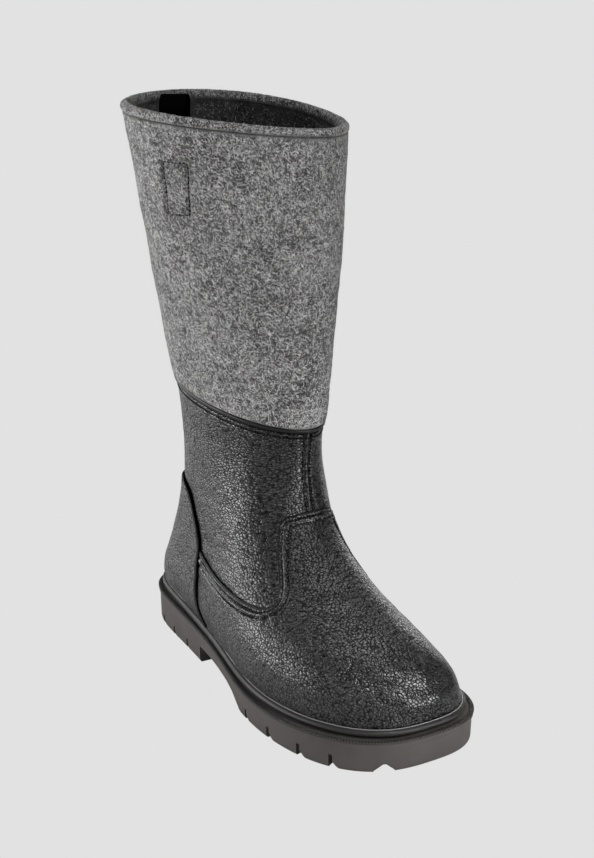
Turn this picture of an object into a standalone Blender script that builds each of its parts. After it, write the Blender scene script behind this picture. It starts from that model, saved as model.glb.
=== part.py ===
"""Felt boot with a leather foot on a lugged rubber sole: one closed solid for each sub-part.

Frame: metres, +X to the toe, +Y to the wearer's left, +Z up, origin on the floor under the heel.
The tables below are in millimetres.
"""
import bmesh
import bpy
import numpy as np

MM = 0.001
NAME = "felt_boot"

# Places along a section, from its back end to its front end, where its half widths are given
STATIONS = np.array([0.17, 0.42, 0.68, 0.90])

# Sections of the upper from the feather line to the collar, a row for each
# back_x, back_z, front_x, front_z: the two ends; heel, waist, ball, toe: half widths at the stations
# inflare: swing of the centre line to the inner side; power: squareness; shift: sideways; turn: degrees
# lean: share by which the inner side is slimmer over the forefoot
UPPER_ROWS = np.array([
    # back_x back_z front_x front_z heel waist ball toe inflare power shift turn lean
    [-34.5, 32.4, 253.6, 26.4, 34.8, 33.0, 49.4, 45.8, 15.0, 2.70, 0.0, 0.0, 0.0],
    [-38.3, 42.0, 252.5, 39.0, 35.5, 36.3, 53.0, 47.0, 14.0, 2.65, 0.0, 0.0, 0.077],
    [-36.1, 56.0, 244.5, 54.0, 33.0, 36.0, 51.8, 43.5, 11.5, 2.50, 0.0, 0.0, 0.179],
    [-29.2, 74.0, 217.7, 69.0, 29.5, 33.3, 44.6, 34.3, 8.5, 2.40, 0.0, 0.0, 0.169],
    [-20.2, 94.0, 172.0, 86.0, 26.5, 30.3, 37.0, 27.7, 6.0, 2.30, 0.5, 1.0, 0.093],
    [-15.0, 116.0, 138.5, 105.0, 26.0, 30.3, 34.5, 25.4, 4.0, 2.20, 3.0, 3.0, 0.023],
    [-14.0, 140.0, 122.2, 126.0, 26.5, 32.5, 34.5, 25.0, 2.0, 2.10, 5.5, 6.0, 0.0],
    [-14.4, 166.0, 116.8, 147.0, 27.0, 34.4, 34.0, 23.4, 1.0, 2.00, 6.0, 8.0, 0.0],
    [-17.8, 199.0, 119.4, 174.0, 29.0, 38.0, 36.0, 23.1, 0.0, 2.00, 5.4, 10.0, 0.0],
    [-22.6, 244.5, 121.8, 220.0, 35.7, 47.0, 44.3, 28.6, 0.0, 2.00, 4.5, 11.0, 0.0],
    [-20.6, 312.0, 117.5, 289.5, 48.7, 64.0, 60.5, 39.0, 0.0, 2.00, 4.6, 12.0, 0.0],
    [-28.2, 382.2, 113.7, 363.2, 57.1, 74.9, 70.8, 45.6, 0.0, 2.00, 3.6, 12.0, 0.0],
])

# The collar dips at its long ends: direction of these ends in degrees, slant, dip and tilt in mm, v where it starts
COLLAR_WAY = 60.0
COLLAR_SLANT = -1.1
COLLAR_DIP = 1.3
COLLAR_TILT = 2.3
COLLAR_FROM = 0.55
COLLAR_REACH = 70.0

# Outline of the sole, in the same columns as a section of the upper
SOLE_ROW = np.array([-40.0, 0.0, 260.0, 0.0, 40.3, 36.6, 55.4, 52.0, 15.7, 2.68, 0.0, 0.0, 0.0])

# Height of the sole's ledge along the boot: x, z
LEDGE = np.array([[-40, 27.0], [20, 25.4], [70, 23.9], [105, 22.8], [138, 19.9],
                  [170, 18.3], [208, 19.2], [240, 20.5], [260, 21.0]])
FEATHER_RISE = 5.4
SKIRT = 0.03
CLEAR = 0.3
TOE_SPRING = 1.6
TOE_SPRING_FROM = 212.0

# Walls: offsets from the fitted outer surface, outward positive
LEATHER_OUT = -0.9
LEATHER_WALL = 2.2
OVERLAY_IN = -0.1
OVERLAY_WALL = 0.9
LEATHER_TOP = 0.5065

# Rows of the leather upper
LEATHER_V = [-0.03, 0.0, 0.013, 0.029, 0.048, 0.070, 0.094, 0.118, 0.145, 0.180, 0.215, 0.250,
             0.280, 0.309, 0.350, 0.40, 0.455, LEATHER_TOP]

# Upper edge of the vamp: f round from the toe (0) to the back (0.5), v up from the feather line
VAMP_EDGE = np.array([
    # f      v
    [0.0000, 0.3500], [0.0280, 0.3480], [0.0525, 0.3420], [0.0635, 0.3350], [0.0690, 0.3220],
    [0.0750, 0.2976], [0.0815, 0.2740], [0.0875, 0.2518], [0.1000, 0.2074], [0.1125, 0.1788],
    [0.1220, 0.1660], [0.1325, 0.1559], [0.1525, 0.1440], [0.1825, 0.1385], [0.2375, 0.1310],
    [0.2700, 0.1290], [0.2850, 0.1300], [0.3100, 0.1380], [0.3225, 0.1460], [0.3300, 0.1540],
])

# Gap in f between the vamp and the counter
VAMP_GAP = 0.0018

# Columns of the vamp, from the middle to the counter
VAMP_F = [0.0, 0.018, 0.036, 0.0525, 0.0635, 0.069, 0.075, 0.0815, 0.0875, 0.100, 0.1125, 0.122, 0.1325, 0.1525,
          0.172, 0.192, 0.212, 0.234, 0.256, 0.278, 0.300, 0.316, 0.330]

# Front edge of the heel counter: v up from the feather line, f round from the toe
COUNTER_EDGE = np.array([
    # v      f
    [0.0010, 0.3060], [0.0157, 0.3130], [0.0286, 0.3190], [0.0450, 0.3260], [0.0661, 0.3325],
    [0.0982, 0.3345], [0.1483, 0.3310], [0.1800, 0.3300], [0.2204, 0.3345], [0.2605, 0.3480],
    [0.2800, 0.3588], [0.2900, 0.3665], [0.2970, 0.3780], [0.3020, 0.3960], [0.3055, 0.4180],
    [0.3078, 0.4420], [0.3090, 0.4650],
])

# Rows of the heel counter
COUNTER_V = [0.0012, 0.013, 0.029, 0.048, 0.070, 0.094, 0.118, 0.145, 0.180, 0.215, 0.250,
             0.280, 0.290, 0.297, 0.302, 0.3055, 0.3078, 0.309]

# Felt shaft, round its wall: offset from the surface, v
FELT_PROFILE = [
    (-3.6, 0.4800), (-3.6, 0.5065), (0.5, 0.5100), (0.9, 0.5200), (0.6, 0.5600), (0.2, 0.6250),
    (0.0, 0.7200), (0.0, 0.8500), (0.0, 0.9855), (-2.5, 0.9870), (-2.5, 0.9930),
    (-4.6, 0.9930), (-4.5, 0.8500), (-4.4, 0.7200), (-4.3, 0.6250), (-4.3, 0.5600),
    (-4.8, 0.5220), (-7.0, 0.5065), (-7.0, 0.4800),
]

# Rolled collar binding, a channel over the top of the shaft: offset, v
BINDING_PROFILE = [
    (0.0, 0.9882), (0.6, 0.9920), (0.5, 0.9965), (-0.8, 1.0005), (-2.9, 1.0020), (-5.0, 1.0005),
    (-6.2, 0.9965), (-6.4, 0.9915), (-6.0, 0.9850), (-4.95, 0.9850), (-4.95, 0.9945), (-2.15, 0.9945),
    (-2.15, 0.9882),
]

# Rubber rand, a bead on the ledge against the upper: offset, height over the ledge
RAND_PROFILE = [(-0.3, 0.3), (3.4, 0.3), (3.9, 1.4), (3.8, 3.2), (3.0, 4.5), (1.7, 5.1), (-0.3, 4.9)]

# Side of the outsole from the ledge down: inset from the outline, height, whether it counts from the ledge
SOLE_PROFILE = [(0.9, 0.0, True), (0.0, -0.8, True), (0.0, -3.6, True), (0.7, -4.1, True),
                (1.3, 1.6, False), (2.6, 0.0, False)]

# Notches of the sole's edge: x on the outer and on the inner side, height of the slot, flare of its front side
NOTCHES = [(-5.0, 7.0, 2.2), (17.6, 7.0, 2.2), (42.1, 7.0, 2.2),
           (155.6, 7.5, 3.6), (183.6, 8.0, 4.0), (210.8, 8.5, 4.2), (232.4, 9.0, 4.2)]
NOTCH_HALF = 1.3
NOTCH_DEPTH = 16.0
TOE_NOTCH_X = 254.9

# Arch under the waist, x and z of the cut
ARCH = [(67.5, -4.0), (67.5, 12.2), (88.0, 13.0), (106.0, 12.8), (122.0, 11.8), (133.0, 9.2), (141.0, 4.6),
        (146.0, 1.6), (150.0, 0.0), (151.0, -4.0)]

# Pull loop of webbing inside the outer side: offset from the surface, v, height over v
LOOP_F = 0.210
LOOP_WIDTH = 20.0
LOOP_THICK = 1.2
LOOP_PATH = [
    (-7.5, 0.836, 0.0), (-7.5, 0.880, 0.0), (-7.6, 0.925, 0.0), (-8.5, 0.948, 0.0), (-10.1, 0.968, 0.0),
    (-10.3, 0.985, 0.0), (-10.4, 1.0, 1.0), (-10.7, 1.0, 6.2), (-11.3, 1.0, 10.0), (-12.6, 1.0, 12.0),
    (-14.2, 1.0, 12.0), (-15.4, 1.0, 10.0), (-15.7, 1.0, 6.2), (-15.2, 1.0, 1.0), (-14.1, 0.980, 0.0),
    (-12.3, 0.955, 0.0), (-10.0, 0.925, 0.0), (-9.3, 0.880, 0.0), (-9.3, 0.836, 0.0),
]

MATERIALS = {
    # name: colour, roughness, metallic
    "outsole": ((0.045, 0.040, 0.038), 0.75, 0.0),
    "rand": ((0.035, 0.034, 0.034), 0.45, 0.0),
    "insole": ((0.16, 0.16, 0.16), 0.95, 0.0),
    "leather_upper": ((0.012, 0.012, 0.013), 0.42, 0.0),
    "vamp": ((0.012, 0.012, 0.013), 0.42, 0.0),
    "heel_counter": ((0.012, 0.012, 0.013), 0.42, 0.0),
    "top_band": ((0.010, 0.010, 0.011), 0.45, 0.0),
    "felt_shaft": ((0.115, 0.115, 0.115), 0.95, 0.0),
    "collar_binding": ((0.105, 0.105, 0.105), 0.95, 0.0),
    "pull_loop": ((0.006, 0.006, 0.006), 0.85, 0.0),
}


def spline(places, values, at):
    """Natural cubic spline through values at places."""
    places = np.asarray(places, float)
    values = np.asarray(values, float)
    count = len(places)
    step = np.diff(places)
    matrix = np.zeros((count, count))
    right = np.zeros((count,) + values.shape[1:])
    matrix[0, 0] = 1.0
    matrix[-1, -1] = 1.0
    for i in range(1, count - 1):
        matrix[i, i - 1] = step[i - 1]
        matrix[i, i] = 2.0 * (step[i - 1] + step[i])
        matrix[i, i + 1] = step[i]
        right[i] = 6.0 * ((values[i + 1] - values[i]) / step[i] - (values[i] - values[i - 1]) / step[i - 1])
    bend = np.linalg.solve(matrix, right)
    at = np.atleast_1d(np.asarray(at, float))
    i = np.clip(np.searchsorted(places, at) - 1, 0, count - 2)
    shape = (-1,) + (1,) * (values.ndim - 1)
    low = (places[i + 1] - at).reshape(shape)
    high = (at - places[i]).reshape(shape)
    wide = step[i].reshape(shape)
    cubic = (bend[i] * low ** 3 + bend[i + 1] * high ** 3) / (6.0 * wide)
    left_part = (values[i] / wide - bend[i] * wide / 6.0) * low
    right_part = (values[i + 1] / wide - bend[i + 1] * wide / 6.0) * high
    return cubic + left_part + right_part


def ledge_height(x):
    """Height of the sole's ledge at x."""
    x = np.asarray(x, float)
    flat = spline(LEDGE[:, 0], LEDGE[:, 1], np.clip(x.ravel(), LEDGE[0, 0], LEDGE[-1, 0]))
    return flat.reshape(x.shape)


def bottom_height(x):
    """Height of the sole's underside at x: flat, with the toe sprung up."""
    rise = np.clip((np.asarray(x, float) - TOE_SPRING_FROM) / (SOLE_ROW[2] - TOE_SPRING_FROM), 0.0, 1.0)
    return TOE_SPRING * rise ** 2


def section(row, points=121):
    """The two halves of a section, outer side and inner side, each from its front end to its back end."""
    back_x, back_z, front_x, front_z, heel, waist, ball, toe, inflare, power = row[:10]
    lean = row[12]
    angle = np.linspace(0.0, np.pi, points)
    cosine = np.cos(angle)
    place = 0.5 + 0.5 * np.sign(cosine) * np.abs(cosine) ** (2.0 / power)
    closing = np.abs(np.sin(angle)) ** (2.0 / power)
    full = (1.0 - np.abs(2.0 * STATIONS - 1.0) ** power) ** (1.0 / power)
    half = spline(STATIONS, np.array([heel, waist, ball, toe]) / full, place)
    centre = inflare * spline([0.0, 0.17, 0.42, 0.68, 1.0], [0.0, 0.0, -0.6, 0.0, 1.0], place)
    x = back_x + (front_x - back_x) * place
    z = back_z + (front_z - back_z) * place
    outer = np.stack([x, centre - half * closing, z], axis=1)
    forward = np.clip((place - 0.40) / 0.30, 0.0, 1.0)
    slim = 1.0 - lean * forward ** 2 * (3.0 - 2.0 * forward)
    inner = np.stack([x, centre + half * closing * slim, z], axis=1)
    return outer, inner


def by_length(curve, fractions):
    """Points of a curve at fractions of its length."""
    length = np.concatenate([[0.0], np.cumsum(np.linalg.norm(np.diff(curve, axis=0), axis=1))])
    length = length / length[-1]
    return np.stack([np.interp(fractions, length, curve[:, k]) for k in range(3)], axis=1)


def closed_loop(row, half_columns):
    """A section as one loop: from the front round the outer side to the back, and by the inner side."""
    fractions = np.linspace(0.0, 1.0, half_columns + 1)
    outer, inner = section(row)
    outer = by_length(outer, fractions)
    inner = by_length(inner, fractions)
    return np.concatenate([outer, inner[-2:0:-1]])


GRID_HALF = 120
GRID_STEP = 0.005
GRID_V = np.arange(-SKIRT, 1.0 + 0.5 * GRID_STEP, GRID_STEP)


def row_places():
    """Place v of each row of the table: the mean travel of its two ends."""
    back = np.hypot(np.diff(UPPER_ROWS[:, 0]), np.diff(UPPER_ROWS[:, 1]))
    front = np.hypot(np.diff(UPPER_ROWS[:, 2]), np.diff(UPPER_ROWS[:, 3]))
    travel = np.concatenate([[0.0], np.cumsum(back + front)])
    return travel / travel[-1]


def collar_dip(x, y, v):
    """Change of height near the collar: its long ends hang a little lower than its sides."""
    way = np.radians(COLLAR_WAY)
    end = (x * np.cos(way) + y * np.sin(way)) / COLLAR_REACH
    side = (y * np.cos(way) - x * np.sin(way)) / COLLAR_REACH
    weight = np.clip((v - COLLAR_FROM) / (1.0 - COLLAR_FROM), 0.0, 1.0) ** 2
    return weight * (COLLAR_SLANT * end + COLLAR_TILT * side - COLLAR_DIP * (end ** 2 - side ** 2))


def surface_grid():
    """Points and outward normals of the upper's outer surface on a fine grid of v and f."""
    places = row_places()
    loops = []
    for v in GRID_V:
        row = spline(places, UPPER_ROWS, max(v, 0.0))[0]
        loop = closed_loop(row, GRID_HALF)
        place = (loop[:, 0] - row[0]) / (row[2] - row[0])
        first = UPPER_ROWS[0]
        straight = first[1] + (first[3] - first[1]) * place
        first_x = first[0] + (first[2] - first[0]) * place
        feather = ledge_height(first_x) + FEATHER_RISE
        fade = np.clip(1.0 - max(v, 0.0) / 0.30, 0.0, 1.0) ** 2
        loop[:, 2] += fade * (feather - straight)
        if v < 0.0:
            loop[:, 2] += (v / SKIRT) * (FEATHER_RISE - CLEAR)
        middle = 0.5 * (row[0] + row[2])
        turn = np.radians(row[11])
        along = loop[:, 0] - middle
        across = loop[:, 1].copy()
        loop[:, 0] = middle + np.cos(turn) * along - np.sin(turn) * across
        loop[:, 1] = row[10] + np.sin(turn) * along + np.cos(turn) * across
        loop[:, 2] += collar_dip(loop[:, 0] - middle, loop[:, 1] - row[10], v)
        loops.append(loop)
    points = np.array(loops)
    round_way = np.roll(points, -1, axis=1) - np.roll(points, 1, axis=1)
    up_way = np.gradient(points, axis=0)
    normals = np.cross(up_way, round_way)
    normals /= np.linalg.norm(normals, axis=2, keepdims=True)
    return points, normals


POINTS, NORMALS = surface_grid()


def on_surface(f, v, offset=0.0):
    """Points at f and v of the upper's surface, moved outward by offset."""
    f, v, offset = np.broadcast_arrays(np.asarray(f, float), np.asarray(v, float), np.asarray(offset, float))
    columns = 2 * GRID_HALF
    column = (f % 1.0) * columns
    i = np.floor(column).astype(int) % columns
    s = (column - np.floor(column))[..., None]
    row = (v + SKIRT) / GRID_STEP
    j = np.clip(np.floor(row).astype(int), 0, len(GRID_V) - 2)
    t = (row - j)[..., None]
    after = (i + 1) % columns

    def mix(values):
        low = values[j, i] * (1.0 - s) + values[j, after] * s
        high = values[j + 1, i] * (1.0 - s) + values[j + 1, after] * s
        return low * (1.0 - t) + high * t

    normal = mix(NORMALS)
    normal = normal / np.linalg.norm(normal, axis=-1, keepdims=True)
    return mix(POINTS) + normal * offset[..., None]


def column_places(half_columns, crowd=0.4):
    """Values of f round a loop, closer together at the toe and at the back."""
    t = np.linspace(0.0, 1.0, half_columns + 1)
    half = 0.5 * (t - crowd / (2.0 * np.pi) * np.sin(2.0 * np.pi * t))
    return np.concatenate([half, 1.0 - half[-2:0:-1]])


def flat_normals(loop):
    """Outward normals of a loop seen from above."""
    way = np.roll(loop, -1, axis=0) - np.roll(loop, 1, axis=0)
    normal = np.stack([-way[:, 1], way[:, 0], np.zeros(len(loop))], axis=1)
    normal /= np.linalg.norm(normal, axis=1, keepdims=True)
    return normal


def make_object(name, verts, faces, collection):
    """A mesh object from points in millimetres, its faces turned outward."""
    mesh = bpy.data.meshes.new(name)
    mesh.from_pydata([tuple(p) for p in np.asarray(verts) * MM], [], faces)
    shape = bmesh.new()
    shape.from_mesh(mesh)
    bmesh.ops.recalc_face_normals(shape, faces=shape.faces)
    shape.to_mesh(mesh)
    shape.free()
    mesh.validate()
    thing = bpy.data.objects.new(name, mesh)
    collection.objects.link(thing)
    return thing


def bridge(first, second, count):
    """Quads between two loops of the same count."""
    return [(first + k, first + (k + 1) % count, second + (k + 1) % count, second + k) for k in range(count)]


def ring_solid(name, loops, collection):
    """A closed ring: each loop joined to the next and the last one to the first."""
    count = len(loops[0])
    faces = []
    for k in range(len(loops)):
        faces += bridge(k * count, ((k + 1) % len(loops)) * count, count)
    return make_object(name, np.concatenate(loops), faces, collection)


def ladder(start, count):
    """Faces that close a loop, rung by rung from its front to its back."""
    faces = [(start, start + 1, start + count - 1)]
    for k in range(1, count // 2 - 1):
        faces.append((start + k, start + k + 1, start + count - k - 1, start + count - k))
    faces.append((start + count // 2 - 1, start + count // 2, start + count // 2 + 1))
    return faces


def capped_solid(name, loops, collection):
    """A stack of loops closed at both ends."""
    count = len(loops[0])
    faces = ladder(0, count) + ladder((len(loops) - 1) * count, count)
    for k in range(len(loops) - 1):
        faces += bridge(k * count, (k + 1) * count, count)
    return make_object(name, np.concatenate(loops), faces, collection)


def sheet(name, grid, closed, collection):
    """An open sheet over a grid of rows and columns, its faces outward."""
    rows, columns = grid.shape[:2]
    mesh = bpy.data.meshes.new(name)
    faces = []
    for j in range(rows - 1):
        for i in range(columns if closed else columns - 1):
            after = (i + 1) % columns
            faces.append((j * columns + i, (j + 1) * columns + i, (j + 1) * columns + after, j * columns + after))
    mesh.from_pydata([tuple(p) for p in grid.reshape(-1, 3) * MM], [], faces)
    thing = bpy.data.objects.new(name, mesh)
    collection.objects.link(thing)
    return thing


def thicken(thing, wall, outward):
    """Gives a sheet its wall."""
    solid = thing.modifiers.new("wall", "SOLIDIFY")
    solid.thickness = wall * MM
    solid.offset = 1.0 if outward else -1.0
    solid.use_even_offset = True
    solid.use_quality_normals = True


def paint(thing, name):
    """A plain material of its own."""
    colour, roughness, metallic = MATERIALS[name]
    material = bpy.data.materials.new(name)
    material.use_nodes = True
    shader = material.node_tree.nodes["Principled BSDF"]
    shader.inputs["Base Color"].default_value = (*colour, 1.0)
    shader.inputs["Roughness"].default_value = roughness
    shader.inputs["Metallic"].default_value = metallic
    thing.data.materials.append(material)


def prism(outline, origin, along, across, depth):
    """Points and faces of an outline in the plane of `along` and z, pushed `depth` along `across`."""
    count = len(outline)
    near = [origin + along * u + np.array([0.0, 0.0, w]) for u, w in outline]
    far = [p + across * depth for p in near]
    faces = [tuple(range(count)), tuple(range(2 * count - 1, count - 1, -1))] + bridge(0, count, count)
    return near + far, faces


def notch_cutters():
    """Slots of the sole's edge, on both sides, and the notch of the toe."""
    loop = closed_loop(SOLE_ROW, 300)
    normals = flat_normals(loop)
    half = len(loop) // 2
    verts = []
    faces = []

    def add(index, outline, depth):
        out = normals[index]
        along = np.array([-out[1], out[0], 0.0])
        if along[0] < 0.0:
            along = -along
        points, parts = prism(outline, loop[index] + out * 3.0, along, -out, depth + 3.0)
        base = len(verts)
        verts.extend(points)
        faces.extend([tuple(base + k for k in part) for part in parts])

    for x, top, flare in NOTCHES:
        slot = [(-NOTCH_HALF, -3.0), (NOTCH_HALF + flare, -3.0), (NOTCH_HALF + flare, 0.6),
                (NOTCH_HALF, 4.6), (NOTCH_HALF, top), (-NOTCH_HALF, top)]
        outer_side = int(np.argmin(np.abs(loop[:half, 0] - x)))
        inner_side = half + int(np.argmin(np.abs(loop[half:, 0] - x)))
        add(outer_side, slot, NOTCH_DEPTH)
        add(inner_side, slot, NOTCH_DEPTH)
    toe = int(np.argmin(np.abs(loop[:half, 0] - TOE_NOTCH_X)))
    add(toe, [(-6.3, -3.0), (6.3, -3.0), (6.3, 2.4), (0.9, 6.6), (-0.9, 6.6), (-6.3, 2.4)], 12.0)
    return verts, faces


def make_outsole(parts, cutters):
    """Rubber outsole: ledge, lip, side wall, arch, heel, notches between the lugs."""
    loop = closed_loop(SOLE_ROW, 36)
    normals = flat_normals(loop)
    loops = []
    for inset, height, from_ledge in SOLE_PROFILE:
        edge = loop - normals * inset
        base = ledge_height(edge[:, 0]) if from_ledge else bottom_height(edge[:, 0])
        edge[:, 2] = base + height
        loops.append(edge)
    outsole = capped_solid("outsole", loops, parts)
    across = np.array([0.0, 1.0, 0.0])
    points, faces = prism(ARCH, np.array([0.0, -90.0, 0.0]), np.array([1.0, 0.0, 0.0]), across, 180.0)
    arch = make_object("cut_arch", points, faces, cutters)
    points, faces = notch_cutters()
    slots = make_object("cut_notches", points, faces, cutters)
    for tool in (arch, slots):
        cut = outsole.modifiers.new(tool.name, "BOOLEAN")
        cut.operation = "DIFFERENCE"
        cut.solver = "EXACT"
        cut.object = tool
    return outsole


def make_rand(parts):
    """Rubber bead that runs round the upper on the ledge."""
    f = column_places(24)
    loop = on_surface(f, 0.0)
    normals = flat_normals(loop)
    loops = []
    for offset, height in RAND_PROFILE:
        ring = loop + normals * offset
        ring[:, 2] = ledge_height(ring[:, 0]) + height
        loops.append(ring)
    return ring_solid("rand", loops, parts)


def make_insole(parts):
    """Insole that lies on the sole inside the upper."""
    f = column_places(24)
    loop = on_surface(f, 0.0)
    normals = flat_normals(loop)
    loops = []
    for inset, height in [(4.4, CLEAR), (3.5, CLEAR + 0.8), (3.5, CLEAR + 3.4), (4.6, CLEAR + 4.2)]:
        ring = loop - normals * inset
        ring[:, 2] = ledge_height(ring[:, 0]) + height
        loops.append(ring)
    return capped_solid("insole", loops, parts)


def make_leather_upper(parts):
    """Foot and lower shaft of the boot, one hollow wall from the ledge to the felt."""
    f = column_places(24)
    grid = on_surface(f[None, :], np.array(LEATHER_V)[:, None], LEATHER_OUT)
    upper = sheet("leather_upper", grid, True, parts)
    thicken(upper, LEATHER_WALL, False)
    return upper


def counter_edge(v):
    """Place f of the counter's front edge at v."""
    return np.interp(v, COUNTER_EDGE[:, 0], COUNTER_EDGE[:, 1])


def make_vamp(parts):
    """Vamp with its tongue, laid over the quarters from one end of the counter to the other."""
    rows = 12
    f = np.array([-g for g in VAMP_F[:0:-1]] + VAMP_F)
    top = np.interp(np.abs(f), VAMP_EDGE[:, 0], VAMP_EDGE[:, 1])
    low = 0.0012
    share = np.linspace(0.0, 1.0, rows)[:, None] ** 1.55
    v = low + share * (top[None, :] - low)
    end = VAMP_F[-1]
    pull = np.clip((np.abs(f) - 0.24) / (end - 0.24), 0.0, 1.0)[None, :]
    reach = np.abs(f)[None, :] + pull * (counter_edge(v) - VAMP_GAP - end)
    grid = on_surface(np.sign(f)[None, :] * reach, v, OVERLAY_IN)
    vamp = sheet("vamp", grid, False, parts)
    thicken(vamp, OVERLAY_WALL, True)
    return vamp


def make_heel_counter(parts):
    """Counter round the back of the foot."""
    v = np.array(COUNTER_V)
    edge = counter_edge(v)
    even = np.linspace(0.0, 1.0, 19)
    share = even + 0.4 / (2.0 * np.pi) * np.sin(2.0 * np.pi * even)
    f = edge[:, None] + (1.0 - 2.0 * edge[:, None]) * share[None, :]
    counter = sheet("heel_counter", on_surface(f, v[:, None], OVERLAY_IN), False, parts)
    thicken(counter, OVERLAY_WALL, True)
    return counter


def make_top_band(parts):
    """Folded top edge of the leather where it laps the felt."""
    f = column_places(24)
    v = np.array([0.4990, 0.5085])
    band = sheet("top_band", on_surface(f[None, :], v[:, None], OVERLAY_IN), True, parts)
    thicken(band, 0.9, True)
    return band


def make_profile_ring(name, profile, half_columns, parts):
    """A ring whose wall follows a profile of offset and v."""
    f = column_places(half_columns)
    return ring_solid(name, [on_surface(f, v, offset) for offset, v in profile], parts)


def make_pull_loop(parts):
    """Webbing folded into a loop, standing up inside the outer side of the collar."""
    here = on_surface(LOOP_F, 0.95)
    side = on_surface(LOOP_F + 0.01, 0.95) - on_surface(LOOP_F - 0.01, 0.95)
    side[2] = 0.0
    side /= np.linalg.norm(side)
    inward = np.array([side[1], -side[0], 0.0])
    if np.dot(inward[:2], np.array([45.0, 0.0]) - here[:2]) < 0.0:
        inward = -inward
    centre = []
    for offset, v, rise in LOOP_PATH:
        centre.append(on_surface(LOOP_F, v) - inward * offset + np.array([0.0, 0.0, rise]))
    centre = np.array(centre)
    way = np.gradient(centre, axis=0)
    way -= np.outer(way @ side, side)
    way /= np.linalg.norm(way, axis=1, keepdims=True)
    thick = np.cross(way, side) * 0.5 * LOOP_THICK
    wide = side * 0.5 * LOOP_WIDTH
    loops = [centre + thick + wide, centre + thick - wide, centre - thick - wide, centre - thick + wide]
    count = len(centre)
    faces = []
    for k in range(4):
        first = k * count
        second = ((k + 1) % 4) * count
        faces += [(first + i, first + i + 1, second + i + 1, second + i) for i in range(count - 1)]
    faces += [(0, count, 2 * count, 3 * count), (count - 1, 2 * count - 1, 3 * count - 1, 4 * count - 1)]
    return make_object("pull_loop", np.concatenate(loops), faces, parts)


def build():
    """Clears the scene and makes every sub-part."""
    for thing in list(bpy.data.objects):
        bpy.data.objects.remove(thing, do_unlink=True)
    parts = bpy.data.collections.new(NAME)
    cutters = bpy.data.collections.new("cutters")
    for group in (parts, cutters):
        bpy.context.scene.collection.children.link(group)
    made = [
        make_outsole(parts, cutters),
        make_rand(parts),
        make_insole(parts),
        make_leather_upper(parts),
        make_vamp(parts),
        make_heel_counter(parts),
        make_top_band(parts),
        make_profile_ring("felt_shaft", FELT_PROFILE, 24, parts),
        make_profile_ring("collar_binding", BINDING_PROFILE, 24, parts),
        make_pull_loop(parts),
    ]
    for thing in made:
        paint(thing, thing.name)
    for tool in cutters.objects:
        tool.hide_render = True
        tool.display_type = "WIRE"


build()
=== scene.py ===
"""Felt boot with a leather foot: the looks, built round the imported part.

Tables and shapes are in millimetres and repeat those of the part. Objects are made in metres.
f runs round the boot from the toe (0) by the outer side to the back (0.5) and on by the inner side.
v runs up the boot from the feather line (0) to the top of the collar (1).
"""
import math

import bmesh
import bpy
import numpy as np
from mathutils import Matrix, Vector


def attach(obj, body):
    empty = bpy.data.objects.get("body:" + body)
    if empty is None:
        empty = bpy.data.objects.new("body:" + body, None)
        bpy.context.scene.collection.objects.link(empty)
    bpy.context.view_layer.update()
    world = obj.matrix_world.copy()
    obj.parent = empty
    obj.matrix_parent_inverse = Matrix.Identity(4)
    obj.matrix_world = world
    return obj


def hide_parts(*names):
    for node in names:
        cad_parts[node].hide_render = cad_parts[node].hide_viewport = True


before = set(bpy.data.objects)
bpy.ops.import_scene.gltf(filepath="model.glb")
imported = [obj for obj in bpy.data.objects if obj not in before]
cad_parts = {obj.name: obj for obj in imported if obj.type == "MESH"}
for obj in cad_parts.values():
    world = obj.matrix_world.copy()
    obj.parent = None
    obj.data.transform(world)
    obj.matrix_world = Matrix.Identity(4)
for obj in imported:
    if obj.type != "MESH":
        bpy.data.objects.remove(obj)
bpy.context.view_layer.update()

MM = 0.001
BODY = "root"

# Tables of the part: sections of the upper, outline and ledge of the sole

# Places along a section, from back to front, where its half widths are given
STATIONS = np.array([0.17, 0.42, 0.68, 0.90])
UPPER_ROWS = np.array([
    # back_x back_z front_x front_z heel waist ball toe inflare power shift turn lean
    [-34.5, 32.4, 253.6, 26.4, 34.8, 33.0, 49.4, 45.8, 15.0, 2.70, 0.0, 0.0, 0.0],
    [-38.3, 42.0, 252.5, 39.0, 35.5, 36.3, 53.0, 47.0, 14.0, 2.65, 0.0, 0.0, 0.077],
    [-36.1, 56.0, 244.5, 54.0, 33.0, 36.0, 51.8, 43.5, 11.5, 2.50, 0.0, 0.0, 0.179],
    [-29.2, 74.0, 217.7, 69.0, 29.5, 33.3, 44.6, 34.3, 8.5, 2.40, 0.0, 0.0, 0.169],
    [-20.2, 94.0, 172.0, 86.0, 26.5, 30.3, 37.0, 27.7, 6.0, 2.30, 0.5, 1.0, 0.093],
    [-15.0, 116.0, 138.5, 105.0, 26.0, 30.3, 34.5, 25.4, 4.0, 2.20, 3.0, 3.0, 0.023],
    [-14.0, 140.0, 122.2, 126.0, 26.5, 32.5, 34.5, 25.0, 2.0, 2.10, 5.5, 6.0, 0.0],
    [-14.4, 166.0, 116.8, 147.0, 27.0, 34.4, 34.0, 23.4, 1.0, 2.00, 6.0, 8.0, 0.0],
    [-17.8, 199.0, 119.4, 174.0, 29.0, 38.0, 36.0, 23.1, 0.0, 2.00, 5.4, 10.0, 0.0],
    [-22.6, 244.5, 121.8, 220.0, 35.7, 47.0, 44.3, 28.6, 0.0, 2.00, 4.5, 11.0, 0.0],
    [-20.6, 312.0, 117.5, 289.5, 48.7, 64.0, 60.5, 39.0, 0.0, 2.00, 4.6, 12.0, 0.0],
    [-28.2, 382.2, 113.7, 363.2, 57.1, 74.9, 70.8, 45.6, 0.0, 2.00, 3.6, 12.0, 0.0],
])
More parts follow.
